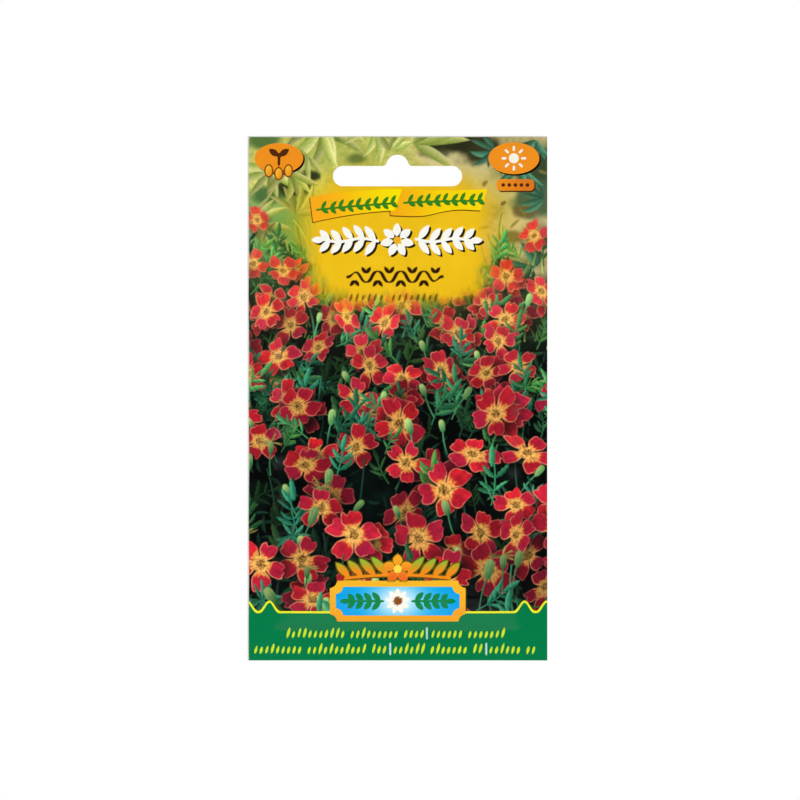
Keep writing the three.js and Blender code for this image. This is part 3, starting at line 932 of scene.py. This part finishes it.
trim.stamp(sun(x - RIGHT_X, z - BADGE_Z, 1.35, 2.2, 3.05, 0.32), (0.99, 0.97, 0.90))
shade.stamp(plate(x - PILL_X - 0.35, z - PILL_Z + 0.35, 5.06, 1.55, 1.1), (0.25, 0.12, 0.04))
badge.stamp(plate(x - PILL_X, z - PILL_Z, 5.06, 1.55, 1.1),
            blend(eased(26, 36, x), ORANGE, (0.87, 0.47, 0.12)))
for k in range(5):
    trim.stamp(0.52 - np.hypot(x - PILL_X - (k - 2) * 1.62, z - PILL_Z), DEEP_BROWN)


def ribbon(x, z):
    """Distance inside the ribbon's left and right parts, each between a top and a bottom edge that are curves
    of x, with slanted ends. The right part is tucked behind the left."""
    s = np.clip((x + 23.23) / 24.58, 0, 1)
    high = -11.23 + 2.06 * (1 - (1 - s) ** 2)
    low = -18.22 + 3.35 * (1 - (1 - s) ** 1.8)
    ends = np.minimum(x + 23.23 - (-11.23 - z) * 0.123, (1.35 - (-9.17 - z) * 0.35 - x) * 0.94)
    left = np.minimum(np.minimum(high - z, z - low), ends)
    s = np.clip((x + 1.7) / 24.0, 0, 1)
    high = -9.12 - 0.42 * np.sin(np.pi * np.clip((x - 1.35) / 22.9, 0, 1))
    low = -16.15 - 0.25 * np.sin(np.pi * np.clip(s / 0.55, 0, 1)) + 1.5 * eased(0.30, 0.78, s)
    low = low - 0.22 * eased(0.8, 1, s)
    ends = np.minimum((24.25 - (-9.0 - z) * 0.317 - x) * 0.95, (x + 1.75) * 0.9)
    return left, np.minimum(np.minimum(high - z, z - low), ends)


# Ribbon with a leafy vine along it.
VINE_GREEN = (0.20, 0.52, 0.12)
for part in ribbon(x + 0.22, z + 0.30):
    shade.stamp(part, (0.42, 0.27, 0.05))
ribbon_left, ribbon_right = ribbon(x, z)
badge.stamp(ribbon_right, blend(eased(-2, 15, x), (0.985, 0.70, 0.08), (1.0, 0.86, 0.03)))
trim.stamp(ribbon_left, blend(eased(-24, 2, x), (1.0, 0.68, 0.10), (1.0, 0.92, 0.01)))
for k in range(19):
    along = -20.2 + k * 2.32
    if abs(along) > 1.0:
        rise = -14.6 + 2.3 * (1 - ((18 - k) / 18) ** 2)
        mark.stamp(strip(x, z, along - 1.2, rise - 0.12, along + 1.2, rise + 0.12, 0.27), VINE_GREEN)
        mark.stamp(leaves(x, z, [(along, rise, 0.95 + 0.1 * (-1) ** k, 2.7, 1.0),
                                 (along, rise, -0.55 + 0.1 * (-1) ** k, 2.3, 1.0)]), VINE_GREEN)

# A white sprig with a flower in its middle and a hard black shadow.
SPRIG_Z = -22.8
SPRIG_PITCH = 3.05
sprig_places = ring(0, SPRIG_Z, 7, 1, np.pi / 2, 3.6, 2.1)
for way in (-1, 1):
    for k in range(5):
        out = 5.7 + k * SPRIG_PITCH
        sprig_places += [(way * out, SPRIG_Z + 0.45 * np.sin(out * 0.5) * way,
                          towards(way, up * (0.94 - 0.03 * k)), 4.9 - 0.22 * k, 1.85) for up in (-1, 1)]
    sprig_places.append((way * 19.4, SPRIG_Z - 0.05 * way, towards(way, 0), 3.5, 1.8))


def white_sprig(x, z):
    """Distance inside the sprig: its leaves and its two stems, each a sine wave."""
    stem = 0.36 - np.abs(z - SPRIG_Z - 0.45 * np.sin(np.abs(x) * 0.5) * np.sign(x)) / 1.03
    return np.maximum(leaves(x, z, sprig_places), np.where((np.abs(x) > 4.7) & (np.abs(x) < 20), stem, -9.0))


shade.stamp(white_sprig(x - 0.55, z + 0.50), (0.16, 0.11, 0.02))
mark.stamp(white_sprig(x, z), (0.99, 0.985, 0.95))
top.stamp(0.95 - np.hypot(x, z - SPRIG_Z), (0.95, 0.68, 0.12))

# A golden label with scooped corners and a sky-blue field, with a daisy between two green sprigs. Over it
# stand two sprays of leaves, orange at the foot and green at the tip, that meet at a small flower.
LABEL_X, LABEL_Z = 0.20, -119.1
SPRAY_Z = -112.9
SPRIG_GREEN = (0.04, 0.52, 0.27)


def label(x, z, half_wide, half_high, scoop):
    """Distance inside a rectangle about (0, 0) whose corners are cut away by quarter circles."""
    in_x, in_z = half_wide - np.abs(x), half_high - np.abs(z)
    return np.minimum(np.minimum(in_x, in_z), np.hypot(in_x, in_z) - scoop)


dx, dz = x - LABEL_X, z - LABEL_Z
spray = [(LABEL_X + way * (2.5 + 3.45 * k), SPRAY_Z + 0.8 - 0.05 * (k + 0.5) ** 2, towards(way, 0.82),
          6.6 - 0.45 * k, 2.0) for way in (-1, 1) for k in range(4)]
stem = 0.36 - np.abs(z - SPRAY_Z - 0.8 + 0.0045 * dx ** 2)
spray_inside = np.maximum(leaves(x, z, spray), np.where(np.abs(dx) < 14.2, stem, -9.0))
bloom = ring(LABEL_X, SPRAY_Z + 2.4, 5, 0.7, np.pi / 2, 3.3, 2.5)
bloom_inside = leaves(x, z, bloom)
shade.stamp(leaves(x - 0.5, z + 0.45, spray + bloom) + 0.3, (0.05, 0.06, 0.02))
gold.stamp(np.maximum(spray_inside, bloom_inside) + 0.36, (0.38, 0.34, 0.06))
rise = np.clip((z - SPRAY_Z - 0.2) / 5.6, 0, 1)
mark.stamp(spray_inside, blend(eased(0.15, 0.95, rise), (0.96, 0.55, 0.10), (0.55, 0.74, 0.22)))
mark.stamp(bloom_inside, blend(eased(-0.2, 0.9, rise), (0.93, 0.40, 0.12), (0.97, 0.66, 0.14)))
top.stamp(1.1 - np.hypot(dx, z - SPRAY_Z - 2.4), (0.99, 0.86, 0.30))
shade.stamp(label(dx - 0.35, dz + 0.4, 18.1, 5.45, 1.9), (0.10, 0.20, 0.06))
gold.stamp(label(dx, dz, 18.1, 5.45, 1.9),
           blend(eased(-125, -114, z), (0.965, 0.64, 0.11), (0.975, 0.73, 0.15)))
white = np.exp(-((dx / 7.5) ** 2) - (dz / 5.0) ** 2)
mark.stamp(label(dx, dz, 16.5, 3.85, 1.9), blend(white, (0.0, 0.64, 0.92), (0.93, 0.98, 1.0)))
for way in (-1, 1):
    label_sprig = [(LABEL_X + way * (4.6 + 2.3 * k), LABEL_Z, towards(way, up * 0.82), 3.3 - 0.2 * k, 1.5)
                   for k in range(4) for up in (-1, 1)]
    label_sprig.append((LABEL_X + way * 12.6, LABEL_Z, towards(way, 0), 2.9, 1.4))
    top.stamp(leaves(x, z, label_sprig), SPRIG_GREEN)
    top.stamp(strip(x, z, LABEL_X + way * 3.9, LABEL_Z, LABEL_X + way * 13.2, LABEL_Z, 0.30), SPRIG_GREEN)
top.stamp(leaves(x, z, ring(LABEL_X, LABEL_Z, 9, 0.9, np.pi / 2, 2.55, 1.35)), (0.99, 0.98, 0.93))
top.stamp(1.25 - np.hypot(dx, dz), (0.55, 0.29, 0.07))

# A trimmed hairline of bare paper along the left and the top edge.
left_hairline = 0.34 + 0.05 * np.sin(z * 0.21) - (sheet_x + SHEET_EDGE)
top_hairline = 0.26 + 0.04 * np.sin(x * 0.17) - (TOP_EDGE - z)
top.stamp(np.maximum(left_hairline, top_hairline), (0.83, 0.83, 0.81))

# The mesh carries every second dot. What the dots between them differ by, across, upwards and in the middle
# of each quad, rides on its corners, and the shader brings it in with a peak half way along.
dots = linear(picture)
knots = dots[::2, ::2]
across = dots[::2, 1::2] - (knots[:, :-1] + knots[:, 1:]) / 2
upward = dots[1::2, ::2] - (knots[:-1] + knots[1:]) / 2
centre = dots[1::2, 1::2] - (knots[:-1, :-1] + knots[1:, 1:]) / 2
centre = centre - (across[:-1] + across[1:]) / 2 - (upward[:, :-1] + upward[:, 1:]) / 2
row, column = np.divmod(kept, COLUMNS)
foot, head = across[row, column], across[row + 1, column]
left, right, middle = upward[row, column], upward[row, column + 1], centre[row, column]
attribute(front_mesh, "picture", "FLOAT_COLOR", "POINT", knots.reshape(-1, 3)[place])
for name, corners in (("across_detail", (foot, foot, head, head)), ("up_detail", (left, right, right, left)),
                      ("centre_detail", (middle, middle, middle, middle))):
    attribute(front_mesh, name, "FLOAT_VECTOR", "CORNER", np.stack(corners, 1).reshape(-1, 3))
spread = np.stack([column, row], 1)[:, None] + np.array([(0, 0), (1, 0), (1, 1), (0, 1)])
grid_uv = np.zeros((len(front_mesh.loops), 2), np.float32)
grid_uv[:len(kept) * 4] = spread.reshape(-1, 2)
front_mesh.uv_layers.new(name="grid").uv.foreach_set("vector", grid_uv.ravel())


def stored(tree, name, output="Color"):
    """An attribute of the mesh."""
    return node(tree, "ShaderNodeAttribute", attribute_name=name).outputs[output]


def maths(tree, operation, first, second, kind="ShaderNodeMath"):
    """The result of one sum in the shader."""
    return node(tree, kind, {0: first, 1: second}, operation=operation).outputs[0]


def add_layers(mesh, tree, colour, names, inks):
    """Lays flat inks over colour, each where its distance is above 0, with an edge 0.06 mm wide."""
    for name, ink in zip(names, inks):
        attribute(mesh, name + "_inside", "FLOAT", "POINT", ink.inside, -9.0)
        attribute(mesh, name + "_colour", "FLOAT_COLOR", "POINT", linear(ink.colour))
        cover = between(tree, stored(tree, name + "_inside", "Fac"), -0.03, 0.03)
        colour = mixed(tree, cover, colour, stored(tree, name + "_colour"))
    return colour


front_finish, tree = new_material("printed_front_paper")
grid = node(tree, "ShaderNodeUVMap", uv_map="grid").outputs["UV"]
grid = node(tree, "ShaderNodeSeparateXYZ", {0: grid}).outputs
hats = [maths(tree, "MULTIPLY", maths(tree, "PINGPONG", grid[axis], 0.5), 2.0) for axis in ("X", "Y")]
hats.append(maths(tree, "MULTIPLY", *hats))
colour = stored(tree, "picture")
for name, hat in zip(("across_detail", "up_detail", "centre_detail"), hats):
    scaled = node(tree, "ShaderNodeVectorMath", {0: stored(tree, name, "Vector"), "Scale": hat},
                  operation="SCALE").outputs[0]
    colour = maths(tree, "ADD", colour, scaled, "ShaderNodeVectorMath")
colour = add_layers(front_mesh, tree, colour, LAYER_NAMES, layers)
coat(tree, colour, between(tree, noise(tree, 260.0), 0.3, 0.7, 0.15, 0.21), 0.15, noise(tree, 2600.0, 2.0),
     0.0000035)

bare_paper, tree = new_material("bare_paper")
fibres = between(tree, noise(tree, 900.0, 4.0, 0.6, (1, 1, 0.4)), 0.3, 0.7)
coat(tree, mixed(tree, fibres, (0.76, 0.74, 0.69), (0.86, 0.85, 0.81)), 0.85, 0.25, fibres, 0.00002)
front_mesh.materials.append(front_finish)
front_mesh.materials.append(bare_paper)
front = placed("front_sheet_printed", front_mesh)
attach(front, "root")
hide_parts("front_sheet")

# ----------------------------------------------------------------------------
# The back sheet. The real one is the same coated paper in cream, sealed to the front sheet's borders, with
# the growing notes: plain bars in two columns, four picture signs, and a calendar of coloured bars.
BACK_COLUMNS = 202
BACK_ROWS = 354
BACK_RELIEF_DRAW = 60
NOTES_DRAW = 5
BACK_LAYER_NAMES = ("shade", "badge", "trim", "mark", "top")
LEAF_GREEN = (0.13, 0.45, 0.17)
LINE_INK = (0.27, 0.33, 0.27)
CRIMSON = (0.76, 0.10, 0.17)
PETAL_EDGE = (0.95, 0.62, 0.30)
PALE = (0.99, 0.98, 0.93)
back_mesh, sheet_x, sheet_z, _, _ = sheet_mesh("back_sheet_printed", 1, BACK_FULLNESS, BACK_COLUMNS,
                                               BACK_ROWS, BACK_RELIEF_DRAW)
x, z = -sheet_x, sheet_z
shade, badge, trim, mark, top = layers = [Layer(len(x)) for _ in BACK_LAYER_NAMES]

# The bottom band and, upside down, the head band, with a row of slanted marks.
for band in (band_top(x, z), band_top(x, -z - 132.8)):
    badge.stamp(band, BAND_YELLOW)
    trim.stamp(band - 0.6, BAND_GREEN)
marks = [(-33.4 + 1.9 * k, -131.3, 1.36, 2.3 + 0.5 * np.sin(k * 1.7), 1.0) for k in range(36)]
mark.stamp(leaves(x, z, marks), BAND_INK)

# A leafy green rule under the head band, with a flower in its middle.
RULE_Z = -17.4
rule = [(way * (4.6 + 2.6 * k), RULE_Z, towards(way, up * 0.8), 3.9 - 0.15 * k, 1.5)
        for k in range(9) for way in (-1, 1) for up in (-1, 1)]
petals = ring(0, RULE_Z, 5, 1.1, np.pi / 2, 2.9, 1.9)
mark.stamp(np.where((np.abs(x) > 4) & (np.abs(x) < 27), 0.32 - np.abs(z - RULE_Z), -9.0), LEAF_GREEN)
mark.stamp(leaves(x, z, rule), LEAF_GREEN)
trim.stamp(leaves(x, z, petals) + 0.35, PETAL_EDGE)
mark.stamp(leaves(x, z, petals), CRIMSON)
top.stamp(1.15 - np.hypot(x, z - RULE_Z), (0.97, 0.74, 0.20))

# The framed notes: two columns of lines, each line some bars of uneven length.
LINE_PITCH = 2.95
badge.stamp(plate(x, z + 41.0, 34.4, 18.6, 2.2), LEAF_GREEN)
trim.stamp(plate(x, z + 41.0, 33.9, 18.1, 1.7), (0.985, 0.975, 0.91))
note_rng = np.random.default_rng(NOTES_DRAW)
for first_x, last_x in ((-31.2, -1.6), (1.6, 31.2)):
    for line in range(11):
        line_z = -25.8 - line * LINE_PITCH
        heading = line in (0, 6)
        at, stop = first_x, last_x if not heading else first_x + 14
        if line in (5, 10):
            stop = first_x + (last_x - first_x) * note_rng.uniform(0.3, 0.7)
        while at < stop - 1.2:
            long = min(note_rng.uniform(1.6, 6.4), stop - at)
            bar = strip(x, z, at, line_z, at + long, line_z, 0.52 if heading else 0.36)
            mark.stamp(bar, LEAF_GREEN if heading else LINE_INK)
            at += long + 1.5

# Four picture signs: sun, water drop, planting depth and spacing.
SIGN_Z = -67.6
for sign_x, ink in ((-25.5, ORANGE), (-8.5, (0.10, 0.55, 0.83)), (8.5, (0.55, 0.33, 0.14)),
                    (25.5, (0.24, 0.58, 0.22))):
    dx, dz = x - sign_x, z - SIGN_Z
    shade.stamp(5.2 - np.hypot(dx - 0.4, dz + 0.4), (0.55, 0.53, 0.45))
    badge.stamp(5.2 - np.hypot(dx, dz), ink)
mark.stamp(sun(x + 25.5, z - SIGN_Z, 1.6, 2.5, 3.7, 0.36), PALE)
rise = np.clip((z + 68.7) / 4.3, 0, 1)
mark.stamp(2.0 * (1 - rise) - np.hypot(x + 8.5, z + 68.7 - 4.3 * rise), PALE)
mark.stamp(ellipse(x - 8.5, z + 69.4, 1.3, 0.9), PALE)
for plant_x, plant_z, long in ((8.5, -66.0, 2.8), (23.2, -67.4, 2.9), (27.8, -67.4, 2.9)):
    mark.stamp(leaves(x, z, [(plant_x, plant_z, towards(way, 0.9), long, 1.3) for way in (-1, 1)]), PALE)
for line in ((5.3, -66.0, 11.7, -66.0, 0.4), (22.8, -70.6, 28.2, -70.6, 0.36),
             (23.2, -69.4, 23.2, -67.0, 0.36), (27.8, -69.4, 27.8, -67.0, 0.36)):
    mark.stamp(strip(x, z, *line), PALE)

# The calendar: twelve columns under a green head, with a bar each for sowing, planting out and bloom.
CELL = 5.6
badge.stamp(plate(x, z + 89.2, 6 * CELL + 0.5, 13.1, 0.6), LEAF_GREEN)
column_line = np.abs((x + 0.5 * CELL) % CELL - 0.5 * CELL)
row_line = np.minimum(np.minimum(np.abs(z + 88.0), np.abs(z + 95.2)), np.abs(z + 80.8))
cell_inside = np.minimum(np.minimum(column_line, row_line) - 0.2, plate(x, z + 91.2, 6 * CELL, 10.6, 0.4))
trim.stamp(cell_inside, (0.985, 0.98, 0.93))
mark.stamp(leaves(x, z, [((k - 5.5) * CELL - 0.25, -79.5, 1.36, 2.2, 1.1) for k in range(12)]), PALE)
for row_z, first, last, ink in ((-84.4, 2.2, 4.6, (0.95, 0.66, 0.16)), (-91.6, 4.3, 5.6, (0.32, 0.62, 0.22)),
                                (-98.6, 5.6, 9.8, CRIMSON)):
    bar_x, bar_half = ((first + last) / 2 - 6) * CELL, (last - first) / 2 * CELL
    mark.stamp(plate(x - bar_x, z - row_z, bar_half, 1.5, 0.5), ink)

# A small bunch of flowers on the left and a bare box for a date on the right.
stems = [(-22.5, -121.5, 1.35, 9.5, 1.1), (-21.5, -121.5, 1.9, 11.5, 1.1), (-30.4, -118.2, 0.7, 6.5, 2.0),
         (-15.0, -117.6, 2.3, 6.3, 2.0), (-31.2, -113.6, 0.2, 5.0, 1.6), (-12.6, -112.4, 2.9, 5.2, 1.6)]
badge.stamp(leaves(x, z, stems), (0.18, 0.52, 0.26))
for flower_x, flower_z, reach, first in ((-27.0, -110.5, 4.6, 0.3), (-18.2, -108.6, 4.0, 1.0),
                                         (-21.8, -116.0, 4.9, 0.7)):
    inside = leaves(x, z, ring(flower_x, flower_z, 5, 0.6, first, reach, reach * 0.80))
    trim.stamp(inside + 0.30, PETAL_EDGE)
    mark.stamp(inside, CRIMSON)
    top.stamp(reach * 0.30 - np.hypot(x - flower_x, z - flower_z), (0.96, 0.72, 0.22))
badge.stamp(plate(x - 17.2, z + 112.8, 16.6, 6.8, 1.2), LEAF_GREEN)
trim.stamp(plate(x - 17.2, z + 112.8, 16.1, 6.3, 0.8), (0.99, 0.99, 0.97))

back_finish, tree = new_material("printed_back_paper")
cream = mixed(tree, between(tree, noise(tree, 60.0), 0.3, 0.7), (0.90, 0.86, 0.70), (0.94, 0.90, 0.76))
colour = add_layers(back_mesh, tree, cream, BACK_LAYER_NAMES, layers)
coat(tree, colour, between(tree, noise(tree, 220.0), 0.3, 0.7, 0.42, 0.54), 0.2, noise(tree, 2200.0, 2.0),
     0.000005)
back_mesh.materials.append(back_finish)
back_mesh.materials.append(bare_paper)
back = placed("back_sheet_printed", back_mesh)
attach(back, "root")
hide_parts("back_sheet")

# ----------------------------------------------------------------------------
# The seeds, about seventy. Each real one is a dry achene: a slender ribbed black-brown body, a little bent,
# and a tuft of straw-coloured scales at one end. They lie loose across the bottom of the pouch.
SEED_TOTAL = 70
SEEDS_IN_CAD = 58
SEED_LENGTH = 7.5
SEED_DIAMETER = 0.9
SEED_GAP = 0.32
SEED_COLUMN_PITCH = 8.2
SEED_TILTS = np.radians([7, -5, 9, -8, 5, -9, 6])
WALL_CLEARANCE = 0.3
MOST_DEEP = 3
BODY_SHARE = 0.68
BODY_RADIUS = 0.43
BODY_RINGS, BODY_TURNS = 25, 30
RIBS = 5
SCALES = 6
SCALE_RINGS, SCALE_TURNS = 7, 6
MERGE_BELOW = 1e-7
FIRST_SEED_DRAW = 300


def room_for(x, z, tilt):
    """The depth of the pouch, which is both sheets' bulge together, at the outer and lower end of a seed
    whose middle is at (x, z)."""
    end_x, end_z = abs(x) + SEED_LENGTH / 2 * math.cos(tilt), z - SEED_LENGTH / 2 * abs(math.sin(tilt))
    return float((FRONT_FULLNESS + BACK_FULLNESS) * fullness(end_x, end_z))


# The next seeds go on the lowest of seven stacks, as many abreast as the pouch is deep there.
seed_pitch = SEED_DIAMETER + SEED_GAP
stacks = []
for i, tilt in enumerate(SEED_TILTS):
    stack_x, stack_z = (i - (len(SEED_TILTS) - 1) / 2) * SEED_COLUMN_PITCH, POUCH_BOTTOM
    while room_for(stack_x, stack_z, tilt) < SEED_DIAMETER + 2 * WALL_CLEARANCE:
        stack_z += SEED_GAP
    stacks.append([stack_z, stack_x, tilt])
seed_places = []
while len(seed_places) < SEED_TOTAL:
    stack = min(stacks, key=lambda s: s[0])
    stack_z, stack_x, tilt = stack
    free = room_for(stack_x, stack_z, tilt) - 2 * WALL_CLEARANCE + SEED_GAP
    deep = min(int(free / seed_pitch), MOST_DEEP)
    middle = (BACK_FULLNESS - FRONT_FULLNESS) / 2 * float(fullness(stack_x, stack_z))
    for k in range(min(deep, SEED_TOTAL - len(seed_places))):
        seed_places.append((stack_x, middle + (k - (deep - 1) / 2) * seed_pitch, stack_z, tilt))
    stack[0] += seed_pitch / math.cos(tilt)


def seed_grid(rings, turns):
    """Shares 0..1 along a piece of a seed, and angles round it."""
    return np.linspace(0, 1, rings)[:, None], np.linspace(0, 2 * np.pi, turns, endpoint=False)[None, :]


def seed_shape(rng):
    """One seed about its own middle, lying along X: the ribbed body, whose radius is sin(pi t)^0.6 towards
    its neck, and the scales, thin blades that spread from the neck and close to points. Both bend as a
    parabola."""
    bend, twist = rng.uniform(-0.14, 0.14), rng.uniform(0, 2 * np.pi)
    t, turn = seed_grid(BODY_RINGS, BODY_TURNS)
    ribbed = 1 + 0.09 * np.cos(RIBS * (turn + twist + 0.5 * t))
    thick = BODY_RADIUS * np.sin(np.pi * (0.03 + 0.90 * t) ** 0.85) ** 0.6 * ribbed
    thick = thick * np.minimum(1, 14 * t) ** 0.5 * np.minimum(1, 9 * (1 - t)) ** 0.5
    run = t * BODY_SHARE
    body = np.stack([run * SEED_LENGTH + 0 * turn, thick * np.cos(turn),
                     thick * np.sin(turn) + bend * run * (1 - run) * 4], 2)
    parts = [(body, BODY_RINGS, BODY_TURNS)]
    s, edge = seed_grid(SCALE_RINGS, SCALE_TURNS)
    for k in range(SCALES):
        length = rng.uniform(0.8, 1.0)
        way = twist + k * 2 * np.pi / SCALES + rng.normal(0, 0.1)
        out = 0.10 + 0.20 * np.sin(np.pi * 0.62 * s) * rng.uniform(0.8, 1.1)
        wide = 0.10 * (1 - s) ** 0.6 * np.minimum(1, 6 * s) ** 0.5
        across, through = wide * np.cos(edge), 0.22 * wide * np.sin(edge)
        run = (BODY_SHARE - 0.035 + s * (1 - BODY_SHARE + 0.03) * length) + 0 * edge
        centre_line = bend * run * (1 - run) * 4
        scale = np.stack([run * SEED_LENGTH, (out + through) * np.cos(way) - across * np.sin(way),
                          (out + through) * np.sin(way) + across * np.cos(way) + centre_line], 2)
        parts.append((scale, SCALE_RINGS, SCALE_TURNS))
    points, faces, start = [], [], 0
    for part, rings, turns in parts:
        points.append(part.reshape(-1, 3))
        faces.append(ring_faces(rings, turns) + start)
        start += rings * turns
    finishes = (np.arange(sum(len(part) for part in faces)) >= len(faces[0])).astype(int)
    return np.concatenate(points) - (SEED_LENGTH / 2, 0, 0), np.concatenate(faces), finishes


seed_coat, tree = new_material("seed_coat")
streaks = between(tree, noise(tree, 1500.0, 4.0, 0.65, (0.25, 1, 1)), 0.32, 0.68)
coat(tree, mixed(tree, streaks, (0.012, 0.009, 0.007), (0.075, 0.050, 0.034)),
     between(tree, streaks, 0, 1, 0.55, 0.8), 0.4, streaks, 0.00004)
straw, tree = new_material("seed_scales")
veins = between(tree, noise(tree, 2600.0, 3.0, 0.6, (0.2, 1, 1)), 0.3, 0.7)
coat(tree, mixed(tree, veins, (0.50, 0.36, 0.18), (0.74, 0.60, 0.36)), 0.7, 0.5, veins, 0.00002)
for index, (seed_x, seed_y, seed_z, tilt) in enumerate(seed_places):
    points, faces, finishes = seed_shape(np.random.default_rng(FIRST_SEED_DRAW + index))
    tilted = np.stack([points[:, 0] * math.cos(tilt) + points[:, 2] * math.sin(tilt), points[:, 1],
                       points[:, 2] * math.cos(tilt) - points[:, 0] * math.sin(tilt)], 1)
    mesh = bpy.data.meshes.new(f"loose_seed_{index + 1:02d}")
    mesh.from_pydata(((tilted + (seed_x, seed_y, seed_z)) / 1000).tolist(), [], faces.tolist())
    mesh.polygons.foreach_set("material_index", finishes)
    mesh.polygons.foreach_set("use_smooth", np.ones(len(faces), bool))
    work = bmesh.new()
    work.from_mesh(mesh)
    bmesh.ops.remove_doubles(work, verts=work.verts, dist=MERGE_BELOW)
    bmesh.ops.recalc_face_normals(work, faces=work.faces)
    work.to_mesh(mesh)
    work.free()
    mesh.materials.append(seed_coat)
    mesh.materials.append(straw)
    seed = placed(f"loose_seed_{index + 1:02d}", mesh)
    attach(seed, "root")
    if index < SEEDS_IN_CAD:
        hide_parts(f"seed_{index + 1:02d}")
